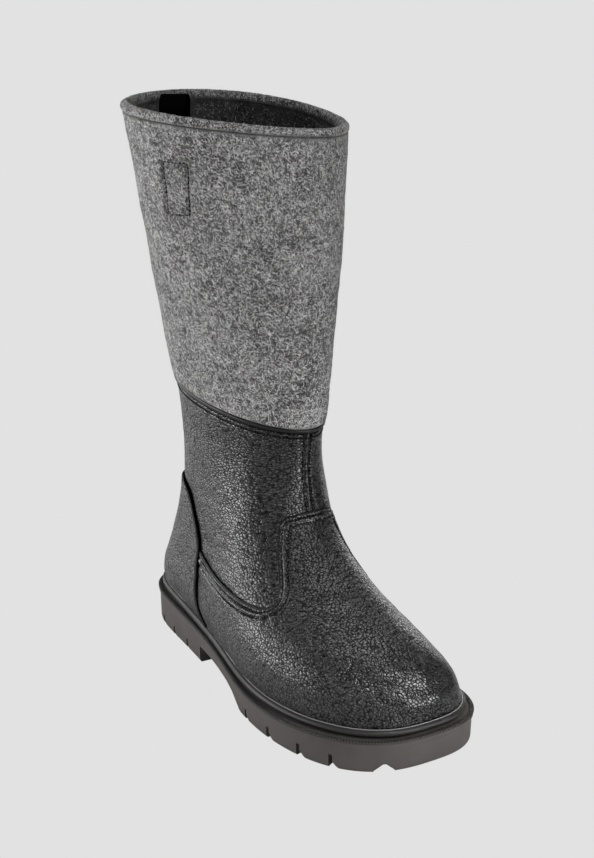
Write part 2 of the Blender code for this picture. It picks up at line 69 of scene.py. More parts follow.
# The collar's long ends hang low: their direction in degrees, then slant, dip and tilt in millimetres
COLLAR_WAY = 60.0
COLLAR_SLANT = -1.1
COLLAR_DIP = 1.3
COLLAR_TILT = 2.3
# v from which the collar bends, and the distance from its middle that counts as 1
COLLAR_FROM = 0.55
COLLAR_REACH = 70.0
# The sole's outline, in the same columns, and its ledge: x, height
SOLE_ROW = np.array([-40.0, 0.0, 260.0, 0.0, 40.3, 36.6, 55.4, 52.0, 15.7, 2.68, 0.0, 0.0, 0.0])
LEDGE = np.array([[-40, 27.0], [20, 25.4], [70, 23.9], [105, 22.8], [138, 19.9],
                  [170, 18.3], [208, 19.2], [240, 20.5], [260, 21.0]])
# Rise of the feather line over the ledge, reach in v of the skirt below it, gap between skirt and ledge
FEATHER_RISE = 5.4
SKIRT = 0.03
CLEAR = 0.3
# Toe spring: its height, and x where it starts
TOE_SPRING = 1.6
TOE_SPRING_FROM = 212.0
# Middle line of a section: places along it, and the shares of the inflare there
MIDDLE_PLACES = [0.0, 0.17, 0.42, 0.68, 1.0]
MIDDLE_SHARES = [0.0, 0.0, -0.6, 0.0, 1.0]
SECTION_POINTS = 361
# The inner side grows slimmer from this place on, over this reach
SLIM_FROM = 0.40
SLIM_REACH = 0.30
# v at which the wave of the feather line has faded out
FADE_TOP = 0.30

# Upper edge of the vamp, and front edge of the counter
VAMP_EDGE = np.array([
    # f      v
    [0.0000, 0.3500], [0.0280, 0.3480], [0.0525, 0.3420], [0.0635, 0.3350], [0.0690, 0.3220],
    [0.0750, 0.2976], [0.0815, 0.2740], [0.0875, 0.2518], [0.1000, 0.2074], [0.1125, 0.1788],
    [0.1220, 0.1660], [0.1325, 0.1559], [0.1525, 0.1440], [0.1825, 0.1385], [0.2375, 0.1310],
    [0.2700, 0.1290], [0.2850, 0.1300], [0.3100, 0.1380], [0.3225, 0.1460], [0.3300, 0.1540],
])
COUNTER_EDGE = np.array([
    # v      f
    [0.0010, 0.3060], [0.0157, 0.3130], [0.0286, 0.3190], [0.0450, 0.3260], [0.0661, 0.3325],
    [0.0982, 0.3345], [0.1483, 0.3310], [0.1800, 0.3300], [0.2204, 0.3345], [0.2605, 0.3480],
    [0.2800, 0.3588], [0.2900, 0.3665], [0.2970, 0.3780], [0.3020, 0.3960], [0.3055, 0.4180],
    [0.3078, 0.4420], [0.3090, 0.4650],
])
COUNTER_TOP = 0.309
LEATHER_TOP = 0.5065

# Notches of the sole's edge: x, height of the slot, flare of its front side
NOTCHES = [(-5.0, 7.0, 2.2), (17.6, 7.0, 2.2), (42.1, 7.0, 2.2),
           (155.6, 7.5, 3.6), (183.6, 8.0, 4.0), (210.8, 8.5, 4.2), (232.4, 9.0, 4.2)]
NOTCH_HALF = 1.3
NOTCH_DEPTH = 16.0
# Heights between which a slot's front side slants
NOTCH_SLANT = (0.6, 4.6)
TOE_NOTCH_X = 254.9
TOE_NOTCH = [(-6.3, -3.0), (6.3, -3.0), (6.3, 2.4), (0.9, 6.6), (-0.9, 6.6), (-6.3, 2.4)]
TOE_NOTCH_DEPTH = 12.0
# How far a cutting body reaches beyond the sole
CUT_OVER = 3.0
# Outline of the arch, and half the length of the body that cuts it
ARCH = [(67.5, -4.0), (67.5, 12.2), (88.0, 13.0), (106.0, 12.8), (122.0, 11.8), (133.0, 9.2), (141.0, 4.6),
        (146.0, 1.6), (150.0, 0.0), (151.0, -4.0)]
ARCH_HALF = 90.0

# Pull loop of webbing inside the outer side
LOOP_F = 0.210
LOOP_WIDTH = 20.0
LOOP_THICK = 1.2
# Place v where its direction is taken, and x of the mouth's middle
LOOP_V = 0.95
MOUTH_X = 45.0
# Section of the webbing: half waves of its ridges, their height, thickness of its borders and its growth
WEB_WAVES = 14.0
WEB_RIDGE = 0.10
WEB_BORDER = 0.45
WEB_GROWTH = 12.0
LOOP_PATH = [
    # offset v rise
    (-7.5, 0.836, 0.0), (-7.5, 0.880, 0.0), (-7.6, 0.925, 0.0), (-8.5, 0.948, 0.0), (-10.1, 0.968, 0.0),
    (-10.3, 0.985, 0.0), (-10.4, 1.0, 1.0), (-10.7, 1.0, 6.2), (-11.3, 1.0, 10.0), (-12.6, 1.0, 12.0),
    (-14.2, 1.0, 12.0), (-15.4, 1.0, 10.0), (-15.7, 1.0, 6.2), (-15.2, 1.0, 1.0), (-14.1, 0.980, 0.0),
    (-12.3, 0.955, 0.0), (-10.0, 0.925, 0.0), (-9.3, 0.880, 0.0), (-9.3, 0.836, 0.0),
]


# Lines and vectors

def travel(points):
    """Distance covered along a line of points, from 0 at its first."""
    return np.concatenate([[0.0], np.cumsum(np.linalg.norm(np.diff(points, axis=0), axis=1))])


def points_at(points, places, at):
    """Points of a line at some places, between the points known at its own places."""
    return np.stack([np.interp(at, places, points[:, k]) for k in range(3)], axis=-1)


def unit(vectors):
    """Vectors scaled to length 1."""
    return vectors / np.linalg.norm(vectors, axis=-1, keepdims=True)


def spline(places, values, at):
    """Natural cubic spline through values at places."""
    places = np.asarray(places, float)
    values = np.asarray(values, float)
    count = len(places)
    shape = (-1,) + (1,) * (values.ndim - 1)
    step = np.diff(places)
    slope = np.diff(values, axis=0) / step.reshape(shape)
    matrix = np.eye(count)
    right = np.zeros_like(values)
    for i in range(1, count - 1):
        matrix[i, i - 1:i + 2] = step[i - 1], 2.0 * (step[i - 1] + step[i]), step[i]
        right[i] = 6.0 * (slope[i] - slope[i - 1])
    bend = np.linalg.solve(matrix, right)
    at = np.atleast_1d(np.asarray(at, float))
    i = np.clip(np.searchsorted(places, at) - 1, 0, count - 2)
    low = (places[i + 1] - at).reshape(shape)
    high = (at - places[i]).reshape(shape)
    wide = step[i].reshape(shape)
    cubic = (bend[i] * low ** 3 + bend[i + 1] * high ** 3) / (6.0 * wide)
    left_part = (values[i] / wide - bend[i] * wide / 6.0) * low
    right_part = (values[i + 1] / wide - bend[i + 1] * wide / 6.0) * high
    return cubic + left_part + right_part


# The upper's surface

def ledge_height(x):
    """Height of the sole's ledge at x."""
    x = np.asarray(x, float)
    flat = spline(LEDGE[:, 0], LEDGE[:, 1], np.clip(x.ravel(), LEDGE[0, 0], LEDGE[-1, 0]))
    return flat.reshape(x.shape)


def bottom_height(x):
    """Height of the sole's underside at x: flat, with the toe sprung up."""
    rise = np.clip((np.asarray(x, float) - TOE_SPRING_FROM) / (SOLE_ROW[2] - TOE_SPRING_FROM), 0.0, 1.0)
    return TOE_SPRING * rise ** 2


def section(row):
    """The two halves of a section, outer side and inner side, each from its front end to its back end."""
    back_x, back_z, front_x, front_z, heel, waist, ball, toe, inflare, power = row[:10]
    lean = row[12]
    angle = np.linspace(0.0, np.pi, SECTION_POINTS)
    cosine = np.cos(angle)
    place = 0.5 + 0.5 * np.sign(cosine) * np.abs(cosine) ** (2.0 / power)
    closing = np.abs(np.sin(angle)) ** (2.0 / power)
    full = (1.0 - np.abs(2.0 * STATIONS - 1.0) ** power) ** (1.0 / power)
    half = spline(STATIONS, np.array([heel, waist, ball, toe]) / full, place)
    centre = inflare * spline(MIDDLE_PLACES, MIDDLE_SHARES, place)
    x = back_x + (front_x - back_x) * place
    z = back_z + (front_z - back_z) * place
    outer = np.stack([x, centre - half * closing, z], axis=1)
    forward = np.clip((place - SLIM_FROM) / SLIM_REACH, 0.0, 1.0)
    slim = 1.0 - lean * forward ** 2 * (3.0 - 2.0 * forward)
    inner = np.stack([x, centre + half * closing * slim, z], axis=1)
    return outer, inner


def by_length(curve, fractions):
    """Points of a curve at fractions of its length."""
    length = travel(curve)
    return points_at(curve, length / length[-1], fractions)


def closed_loop(row, half_columns):
    """A section as one loop: from the front round the outer side to the back, and by the inner side."""
    fractions = np.linspace(0.0, 1.0, half_columns + 1)
    outer, inner = [by_length(half, fractions) for half in section(row)]
    return np.concatenate([outer, inner[-2:0:-1]])


# Grid of the upper's surface: columns of each half, step in v
GRID_HALF = 240
GRID_STEP = 0.0025
GRID_V = np.arange(-SKIRT, 1.0 + 0.5 * GRID_STEP, GRID_STEP)


def row_places():
    """Place v of each row of the table: the mean travel of its two ends."""
    back = np.hypot(np.diff(UPPER_ROWS[:, 0]), np.diff(UPPER_ROWS[:, 1]))
    front = np.hypot(np.diff(UPPER_ROWS[:, 2]), np.diff(UPPER_ROWS[:, 3]))
    travel = np.concatenate([[0.0], np.cumsum(back + front)])
    return travel / travel[-1]


def collar_dip(x, y, v):
    """Change of height near the collar: its long ends hang a little lower than its sides."""
    way = np.radians(COLLAR_WAY)
    end = (x * np.cos(way) + y * np.sin(way)) / COLLAR_REACH
    side = (y * np.cos(way) - x * np.sin(way)) / COLLAR_REACH
    weight = np.clip((v - COLLAR_FROM) / (1.0 - COLLAR_FROM), 0.0, 1.0) ** 2
    return weight * (COLLAR_SLANT * end + COLLAR_TILT * side - COLLAR_DIP * (end ** 2 - side ** 2))


def surface_grid():
    """Points and outward normals of the upper's outer surface on a fine grid of v and f."""
    rows = spline(row_places(), UPPER_ROWS, np.maximum(GRID_V, 0.0))
    first = UPPER_ROWS[0]
    loops = []
    for v, row in zip(GRID_V, rows):
        loop = closed_loop(row, GRID_HALF)
        place = (loop[:, 0] - row[0]) / (row[2] - row[0])
        straight = first[1] + (first[3] - first[1]) * place
        first_x = first[0] + (first[2] - first[0]) * place
        feather = ledge_height(first_x) + FEATHER_RISE
        fade = np.clip(1.0 - max(v, 0.0) / FADE_TOP, 0.0, 1.0) ** 2
        loop[:, 2] += fade * (feather - straight)
        if v < 0.0:
            loop[:, 2] += (v / SKIRT) * (FEATHER_RISE - CLEAR)
        middle = 0.5 * (row[0] + row[2])
        turn = np.radians(row[11])
        along = loop[:, 0] - middle
        across = loop[:, 1].copy()
        loop[:, 0] = middle + np.cos(turn) * along - np.sin(turn) * across
        loop[:, 1] = row[10] + np.sin(turn) * along + np.cos(turn) * across
        loop[:, 2] += collar_dip(loop[:, 0] - middle, loop[:, 1] - row[10], v)
        loops.append(loop)
    points = np.array(loops)
    round_way = np.roll(points, -1, axis=1) - np.roll(points, 1, axis=1)
    up_way = np.gradient(points, axis=0)
    return points, unit(np.cross(up_way, round_way))


POINTS, NORMALS = surface_grid()


def on_surface(f, v, offset=0.0, with_normal=False):
    """Points at f and v of the upper's surface, moved outward by offset."""
    f, v, offset = np.broadcast_arrays(np.asarray(f, float), np.asarray(v, float), np.asarray(offset, float))
    columns = 2 * GRID_HALF
    column = (f % 1.0) * columns
    i = np.floor(column).astype(int) % columns
    s = (column - np.floor(column))[..., None]
    row = (v + SKIRT) / GRID_STEP
    j = np.clip(np.floor(row).astype(int), 0, len(GRID_V) - 2)
    t = (row - j)[..., None]
    after = (i + 1) % columns

    def mix(values):
        low = values[j, i] * (1.0 - s) + values[j, after] * s
        high = values[j + 1, i] * (1.0 - s) + values[j + 1, after] * s
        return low * (1.0 - t) + high * t

    normal = unit(mix(NORMALS))
    points = mix(POINTS) + normal * offset[..., None]
    return (points, normal) if with_normal else points


def counter_edge(v):
    """Place f of the counter's front edge at v."""
    return np.interp(v, COUNTER_EDGE[:, 0], COUNTER_EDGE[:, 1])


def vamp_edge(f):
    """Height v of the vamp's upper edge at f."""
    return np.interp(np.abs(f), VAMP_EDGE[:, 0], VAMP_EDGE[:, 1])


def flat_normals(loop):
    """Outward normals of a loop seen from above."""
    way = np.roll(loop, -1, axis=0) - np.roll(loop, 1, axis=0)
    return unit(np.stack([-way[:, 1], way[:, 0], np.zeros(len(loop))], axis=1))


# Soft relief: noise, distances to lines, troughs and ridges

WAVE_COUNT = 24
DISTANCE_BATCH = 4000


def waves(points, length, seed):
    """Smooth seeded noise of about one wave length, between about -1 and 1."""
    rng = np.random.default_rng(seed)
    ways = unit(rng.normal(size=(WAVE_COUNT, 3)))
    ways *= (2.0 * np.pi / length) * rng.uniform(0.6, 1.4, size=(WAVE_COUNT, 1))
    phase = rng.uniform(0.0, 2.0 * np.pi, size=WAVE_COUNT)
    flat = points.reshape(-1, 3)
    total = np.zeros(len(flat))
    for way, start in zip(ways, phase):
        total += np.sin(flat @ way + start)
    return (total * math.sqrt(0.5 / WAVE_COUNT)).reshape(points.shape[:-1])


def lumps(points, layers):
    """Sum of smooth noises, each given by its height, wave length and seed."""
    return sum(height * waves(points, length, seed) for height, length, seed in layers)


def line_points(places, step=0.6):
    """Places f and v along a line given by a few places, a step in millimetres apart."""
    places = np.asarray(places, float)
    fine = np.linspace(0.0, 1.0, 40 * len(places))
    rough = np.linspace(0.0, 1.0, len(places))
    f = np.interp(fine, rough, places[:, 0])
    v = np.interp(fine, rough, places[:, 1])
    length = travel(on_surface(f, v))
    count = max(2, int(round(length[-1] / step)) + 1)
    even = np.linspace(0.0, length[-1], count)
    return np.interp(even, length, f), np.interp(even, length, v)


def distance_to(points, line):
    """Distance of each point to the nearest of a line's points, in millimetres."""
    flat = points.reshape(-1, 3)
    best = np.empty(len(flat))
    for start in range(0, len(flat), DISTANCE_BATCH):
        part = flat[start:start + DISTANCE_BATCH]
        gap = ((part[:, None, :] - line[None, :, :]) ** 2).sum(axis=2)
        best[start:start + DISTANCE_BATCH] = gap.min(axis=1)
    return np.sqrt(best).reshape(points.shape[:-1])


def trough(distance, half_width):
    """1 on the line, falling softly to 0 away from it."""
    return np.exp(-(distance / half_width) ** 2)


def relief(away, rows):
    """Height at a distance from a line: ridges and troughs by their height, middle and half width."""
    return sum(height * trough(away - middle, half_width) for height, middle, half_width in rows)


def round_edge(distance, radius):
    """How far a rounded edge falls below its surface, at a distance from the edge."""
    t = np.clip(1.0 - distance / radius, 0.0, 1.0)
    return radius * (1.0 - np.sqrt(1.0 - t ** 2))


# Meshes

def mesh_object(name, verts, faces, outward=True):
    """A mesh object from points in millimetres, its faces turned outward unless told not to."""
    mesh = bpy.data.meshes.new(name)
    mesh.from_pydata((np.asarray(verts) * MM).tolist(), [], faces)
    if outward:
        shape = bmesh.new()
        shape.from_mesh(mesh)
        bmesh.ops.recalc_face_normals(shape, faces=shape.faces)
        shape.to_mesh(mesh)
        shape.free()
    thing = bpy.data.objects.new(name, mesh)
    bpy.context.scene.collection.objects.link(thing)
    return thing


def smooth(mesh, sharp_angle=None):
    """Smooth shading, but for edges sharper than an angle in degrees."""
    mesh.polygons.foreach_set("use_smooth", np.ones(len(mesh.polygons), bool))
    if sharp_angle is not None:
        mesh.set_sharp_from_angle(angle=math.radians(sharp_angle))


def new_object(name, verts, faces, material, slot, sharp_angle=None):
    """A smooth mesh piece from points in millimetres that rides on the boot."""
    thing = mesh_object(name, verts, faces)
    smooth(thing.data, sharp_angle)
    thing.data.materials.append(material)
    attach(thing, BODY)
    return thing


def dress_inside(piece, columns, first_row, material):
    """Gives the faces of a ring a second material from one of its rows on."""
    piece.data.materials.append(material)
    inside = np.arange(len(piece.data.polygons)) // columns >= first_row
    piece.data.polygons.foreach_set("material_index", inside.astype(np.int32))


def grid_faces(rows, columns, closed, base=0, flip=False):
    """Quads of a grid of points, row by row."""
    across = np.arange(columns if closed else columns - 1)
    j, i = np.meshgrid(np.arange(rows - 1), across, indexing="ij")
    here = j * columns + i
    after = j * columns + (i + 1) % columns
    quads = np.stack([here, here + columns, after + columns, after], axis=-1).reshape(-1, 4) + base
    if flip:
        quads = quads[:, ::-1]
    return quads.tolist()


def shell(outer, inner, closed):
    """Points and faces of the wall between two grids of the same size, closed round its border."""
    rows, columns = outer.shape[:2]
    count = rows * columns
    verts = np.concatenate([outer.reshape(-1, 3), inner.reshape(-1, 3)])
    faces = grid_faces(rows, columns, closed) + grid_faces(rows, columns, closed, count, True)
    rims = [range(columns), range(count - columns, count)]
    if not closed:
        rims += [range(0, count, columns), range(columns - 1, count, columns)]
    for rim in rims:
        pairs = list(zip(rim, rim[1:]))
        if closed:
            pairs.append((rim[-1], rim[0]))
        faces += [(a, b, b + count, a + count) for a, b in pairs]
    return verts, faces


def ring(loops):
    """Points and faces of a closed ring: each loop joined to the next, the last to the first."""
    loops = np.asarray(loops)
    rows, columns = loops.shape[:2]
    faces = np.array(grid_faces(rows + 1, columns, True)) % (rows * columns)
    return loops.reshape(-1, 3), faces.tolist()


def stack(loops):
    """Points and faces of a stack of loops, closed at both ends by rungs from front to back."""
    loops = np.asarray(loops)
    rows, columns = loops.shape[:2]
    faces = grid_faces(rows, columns, True)
    for start in (0, (rows - 1) * columns):
        faces.append((start, start + 1, start + columns - 1))
        for k in range(1, columns // 2 - 1):
            faces.append((start + k, start + k + 1, start + columns - k - 1, start + columns - k))
        half = start + columns // 2
        faces.append((half - 1, half, half + 1))
    return loops.reshape(-1, 3), faces


def block_faces(count, base=0):
    """Faces of a block between two outlines of count points, the second right after the first."""
    faces = [tuple(range(base, base + count)), tuple(range(base + 2 * count - 1, base + count - 1, -1))]
    for k in range(count):
        after = (k + 1) % count
        faces.append((base + k, base + after, base + count + after, base + count + k))
    return faces


# Materials

def node(tree, kind, values=None, **settings):
    """A shader node with its settings and its socket values."""
    made = tree.nodes.new(kind)
    for name, value in settings.items():
        setattr(made, name, value)
    for name, value in (values or {}).items():
        socket = made.inputs[name]
        if hasattr(value, "is_output"):
            tree.links.new(value, socket)
        else:
            socket.default_value = value
    return made


def new_material(name, values):
    """A material with its shader's plain values set; returns it, its tree and its shader."""
    material = bpy.data.materials.new(name)
    material.use_nodes = True
    tree = material.node_tree
    shader = tree.nodes["Principled BSDF"]
    for key, value in values.items():
        shader.inputs[key].default_value = value
    return material, tree, shader


def link(tree, shader, values):
    """Links outputs to the named sockets of a shader."""
    for key, value in values.items():
        tree.links.new(value, shader.inputs[key])


def math_node(tree, operation, first, second=0.0):
    """One step of arithmetic; returns its output."""
    return node(tree, "ShaderNodeMath", {0: first, 1: second}, operation=operation).outputs[0]


def vector_node(tree, operation, values):
    """One step of arithmetic with vectors; returns its output."""
    return node(tree, "ShaderNodeVectorMath", values, operation=operation).outputs[0]


def weighted(tree, layers):
    """Sum of layers, each times its weight."""
    total = 0.0
    for layer, weight in layers:
        total = math_node(tree, "ADD", math_node(tree, "MULTIPLY", layer, weight), total)
    return total


def spread(tree, value, low, high, to_low=0.0, to_high=1.0, kind="LINEAR"):
    """A value taken from one range to another."""
    ranges = {"Value": value, "From Min": low, "From Max": high, "To Min": to_low, "To Max": to_high}
    return node(tree, "ShaderNodeMapRange", ranges, interpolation_type=kind).outputs["Result"]


def colour_mix(tree, factor, first, second):
    """A colour between two."""
    return node(tree, "ShaderNodeMix", {0: factor, 6: first, 7: second}, data_type="RGBA").outputs[2]


def grey(value, warm=0.0):
    """A grey, a little warmer or cooler."""
    return (value * (1.0 + warm), value, value * (1.0 - warm), 1.0)


def place_node(tree, scale=(1.0, 1.0, 1.0), turn=(0.0, 0.0, 0.0)):
    """The place on the object, stretched and turned."""
    values = {"Vector": node(tree, "ShaderNodeTexCoord").outputs["Object"], "Scale": scale, "Rotation": turn}
    return node(tree, "ShaderNodeMapping", values).outputs["Vector"]


def noise_node(tree, vector, scale, detail=2.0, rough=0.5, distort=0.0):
    """Noise between 0 and 1."""
    made = node(tree, "ShaderNodeTexNoise", {"Vector": vector, "Scale": scale, "Detail": detail,
                                             "Roughness": rough, "Distortion": distort})
    return made.outputs["Fac"]


def wave_node(tree, scale, distort, way="X"):
    """Straight waves between 0 and 1 across the object."""
    values = {"Vector": place_node(tree), "Scale": scale, "Distortion": distort}
    return node(tree, "ShaderNodeTexWave", values, bands_direction=way).outputs["Fac"]


def bump_node(tree, height, distance, strength=1.0):
    """A normal bent by a height."""
    values = {"Strength": strength, "Distance": distance, "Height": height}
    return node(tree, "ShaderNodeBump", values).outputs["Normal"]


def leather_material(name, pebble, stretch, shine):
    """Black leather with a pebbled grain: soft domes, with painted shade darkening the colour in the net
    between them and a painted highlight lightening the dome tops.
    """
    values = {"Specular IOR Level": 0.13, "Roughness": 0.42, "Coat Roughness": shine, "Coat IOR": 1.92}
    material, tree, shader = new_material(name, values)
    place = place_node(tree, stretch)
    warp = node(tree, "ShaderNodeTexNoise", {"Vector": place, "Scale": 0.35 / pebble, "Detail": 2.0})
    shift = vector_node(tree, "SUBTRACT", {0: warp.outputs["Color"], 1: (0.5, 0.5, 0.5)})
    small = vector_node(tree, "SCALE", {0: shift, "Scale": pebble * 2.0})
    bent = vector_node(tree, "ADD", {0: place, 1: small})
    grain = {"Vector": bent, "Scale": 1.0 / pebble, "Randomness": 0.9}
    cells = node(tree, "ShaderNodeTexVoronoi", grain)
    edges = node(tree, "ShaderNodeTexVoronoi", grain, feature="DISTANCE_TO_EDGE").outputs["Distance"]
    reach = math_node(tree, "POWER", cells.outputs["Distance"], 2.0)
    domes = spread(tree, reach, 0.0, 0.55, 1.0, 0.0)
    net = spread(tree, edges, 0.0, 0.17, kind="SMOOTHSTEP")
    swell = noise_node(tree, place, 0.22 / pebble)
    fine = noise_node(tree, place, 4.0 / pebble, 3.0, 0.6)
    high = weighted(tree, [(domes, 0.55), (net, 0.35), (fine, 0.12), (swell, 0.70)])
    parts = node(tree, "ShaderNodeSeparateColor", {"Color": cells.outputs["Color"]})
    own = spread(tree, parts.outputs[0], 0.0, 1.0, 0.66, 1.0)
    # Painted shade and highlight: this mask runs the colour from near black in the net between the pebbles to
    # a lighter dark grey on their tops; it also sets the coat.
    coat_and_painted_light = math_node(tree, "MULTIPLY", net, spread(tree, domes, 0.0, 0.8, 0.45, 1.0))
    coat_and_painted_light = math_node(tree, "MULTIPLY", coat_and_painted_light, own)
    link(tree, shader, {
        "Base Color": colour_mix(tree, coat_and_painted_light, grey(0.0004), grey(0.0040, -0.01)),
        "Coat Weight": coat_and_painted_light,
        "Normal": bump_node(tree, high, 0.07 * pebble),
        "Coat Normal": bump_node(tree, high, 0.21 * pebble),
    })
    return material


FELT_WARMTH = 0.01
STRAND_STRETCH = (260.0, 1700.0, 1700.0)
STRAND_TURNS = [(0.3, 0.2, 0.1), (1.1, 0.4, 0.9), (0.5, 1.2, 2.0), (2.0, 0.7, 1.5)]


def felt_material(name, dark, light):
    """Felt of mixed dark and light fibres, in clouds of darker and lighter wool."""
    values = {"Specular IOR Level": 0.15, "Roughness": 0.95, "Sheen Weight": 0.15, "Sheen Roughness": 0.5}
    material, tree, shader = new_material(name, values)
    place = place_node(tree)
    clouds = noise_node(tree, place, 34.0, 2.0, 0.5, 0.4)
    blots = noise_node(tree, place, 95.0, 3.0, 0.6, 0.5)
    clumps = noise_node(tree, place, 330.0, 3.0, 0.65, 0.8)
    specks = noise_node(tree, place, 950.0, 2.0, 0.6, 0.5)
    strands = 0.0
    for turn in STRAND_TURNS:
        noise = noise_node(tree, place_node(tree, STRAND_STRETCH, turn), 1.0, 1.0, 0.5, 0.8)
        beside = math_node(tree, "ABSOLUTE", math_node(tree, "SUBTRACT", noise, 0.5))
        strands = math_node(tree, "MAXIMUM", strands, spread(tree, beside, 0.0, 0.07, 1.0, 0.0))
    layers = []
    for layer, middle, weight in ((clouds, 0.5, 0.75), (blots, 0.5, 0.75), (clumps, 0.5, 0.85),
                                  (specks, 0.5, 0.90), (strands, 0.4, 0.16)):
        layers.append((math_node(tree, "SUBTRACT", layer, middle), weight))
    tone = spread(tree, weighted(tree, layers), -0.36, 0.42)
    nap = weighted(tree, [(clumps, 0.5), (specks, 0.5)])
    link(tree, shader, {
        "Base Color": colour_mix(tree, tone, grey(dark, FELT_WARMTH), grey(light, FELT_WARMTH)),
        "Normal": bump_node(tree, nap, 0.0009, 0.9),
    })
    return material


def fibre_material(name, dark, light):
    """Single fibres of the felt, each with its own tone."""
    material, tree, shader = new_material(name, {"Roughness": 0.8, "Specular IOR Level": 0.25})
    tone = node(tree, "ShaderNodeAttribute", attribute_name="tone").outputs["Fac"]
    link(tree, shader, {"Base Color": colour_mix(tree, tone, grey(dark), grey(light, FELT_WARMTH))})
    return material


def rubber_material(name, colour, rough, grain, shine=0.45):
    """Moulded rubber with a fine grain and a little dust."""
    material, tree, shader = new_material(name, {"Specular IOR Level": shine})
    place = place_node(tree)
    patches = noise_node(tree, place, 35.0, 3.0, 0.6)
    specks = noise_node(tree, place, 2600.0, 2.0, 0.6)
    dark, light = [tuple(c * share for c in colour) + (1.0,) for share in (0.82, 1.22)]
    link(tree, shader, {
        "Base Color": colour_mix(tree, spread(tree, patches, 0.3, 0.7), dark, light),
        "Roughness": spread(tree, patches, 0.3, 0.7, rough - 0.05, rough + 0.07),
        "Normal": bump_node(tree, specks, 0.00018, grain),
    })
    return material


def thread_material(name, tone):
    """Twisted sewing thread."""
    material, tree, shader = new_material(name, {"Roughness": 0.7, "Specular IOR Level": 0.15})
    twist = wave_node(tree, 900.0, 2.0)
    link(tree, shader, {
        "Base Color": colour_mix(tree, twist, grey(tone * 0.6), grey(tone * 1.4)),
        "Normal": bump_node(tree, twist, 0.0001, 0.5),
    })
    return material


def webbing_material(name):
    """Black woven webbing."""
    material, tree, shader = new_material(name, {"Roughness": 0.9, "Specular IOR Level": 0.0})
    weave = math_node(tree, "MULTIPLY", wave_node(tree, 190.0, 0.6, "Z"), wave_node(tree, 330.0, 0.4))
    link(tree, shader, {
        "Base Color": colour_mix(tree, weave, grey(0.0008), grey(0.0045)),
        "Normal": bump_node(tree, weave, 0.0004, 0.8),
    })
    return material


QUARTER_LEATHER = leather_material("quarter_grain", 0.0021, (0.85, 0.85, 1.35), 0.30)
VAMP_LEATHER = leather_material("vamp_grain", 0.0019, (1.0, 1.0, 1.1), 0.28)
COUNTER_LEATHER = leather_material("counter_grain", 0.0021, (1.0, 1.0, 1.3), 0.32)
FELT = felt_material("grey_felt", 0.020, 0.40)
BINDING_FELT = felt_material("binding_felt", 0.020, 0.34)
# Painted shade: the inside of the leg is the same grey felt, given here as a much darker copy because it lies
# in shade
LINING_SHADE_FELT = felt_material("lining_painted_shade", 0.002, 0.08)
# Painted shade: a darker copy of the binding felt for the inward faces of the rim
RIM_SHADE_FELT = felt_material("binding_inside_painted_shade", 0.006, 0.17)
INSOLE_FELT = felt_material("insole_felt", 0.05, 0.22)
FIBRES = fibre_material("felt_fibres", 0.003, 0.86)
# Painted shade: darker copies of the loose fibres for the inner rim and the lining
RIM_SHADE_FIBRES = fibre_material("rim_inside_painted_shade_strands", 0.003, 0.50)
LINING_SHADE_FIBRES = fibre_material("lining_inside_painted_shade_strands", 0.002, 0.32)
SOLE_RUBBER = rubber_material("sole_rubber", (0.066, 0.0575, 0.0555), 0.66, 0.8)
RAND_RUBBER = rubber_material("rand_rubber", (0.012, 0.0112, 0.011), 0.48, 0.4)
# Painted shade: the lip under the ribs is near black to stand for the shaded recess below the bead and the
# gaps between the ribs
LIP_SHADE_RUBBER = rubber_material("lip_recess_painted_shade", (0.0025, 0.0024, 0.0023), 0.80, 0.2)
KNURL_RUBBER = rubber_material("knurl_rubber", (0.034, 0.031, 0.030), 0.60, 0.2)
# Painted highlight: a pale rubber for the thin ridge on the bead's upper edge, standing in for the glint
# along it
PALE_TRIM_RUBBER = rubber_material("trim_painted_highlight", (0.22, 0.21, 0.205), 0.42, 0.1)
# Painted shade: a matt black cord along the counter's and vamp's edges, partly their black cut edges, partly
# the shade in the step beside them
CUT_EDGE_AND_SHADE = rubber_material("cut_edge_and_painted_shade", (0.0020, 0.0020, 0.0021), 0.55, 0.6, 0.2)
BAND_LEATHER = rubber_material("band_finish", (0.003, 0.003, 0.003), 0.40, 0.5, 0.4)
BLACK_THREAD = thread_material("black_thread", 0.002)
WEBBING = webbing_material("webbing")


# Columns of pieces that run round the boot, and columns of each half of the sole's outline
BAND_COLUMNS = 280
FELT_COLUMNS = 400
BINDING_COLUMNS = 320
RAND_COLUMNS = 420
INSOLE_COLUMNS = 220
SOLE_HALF = 170
SLOT_HALF = 600
RIB_HALF = 1152


def even_columns(count):
    """Values of f round the whole boot."""
    return np.arange(count) / count


# Leather pieces

# How far the leather's faces stand out from the upper's surface, and the least thickness at an edge
VAMP_OUT = 0.8
COUNTER_OUT = 1.3
QUARTER_OUT = -0.9
QUARTER_IN = QUARTER_OUT - 2.2
# v at which the relief of the quarters has its full height
QUARTER_RISE = 0.02
UNDERSIDE = -0.45
LEAST_THICK = 0.15
# Place f where the vamp ends, where its columns start to bend, and how far it stops before the counter
VAMP_END = 0.33
VAMP_BEND = 0.24
VAMP_GAP = 0.0055
# Places f of the lines along the vamp's edge, and v of the lowest row of the panels
VAMP_F = np.linspace(-0.328, 0.328, 700)
LOW_EDGE = 0.0006
# Step in v over which millimetres are measured, and how strongly rows and columns crowd at the edges
V_PROBE = 0.004
VAMP_CROWDING = 1.15
COUNTER_CROWDING = 0.55

# Front seam: places f, v
FRONT_SEAM = [[0.0025, 0.354], [0.0040, 0.40], [0.0050, 0.45], [0.0060, 0.503]]
# Rows of stitches below the leather's top edge: how far down in v, how deep, half width in v
JOINT_ROWS = (0.0088, 0.0172)
JOINT_DEPTH = 0.55
JOINT_HALF = 0.0020
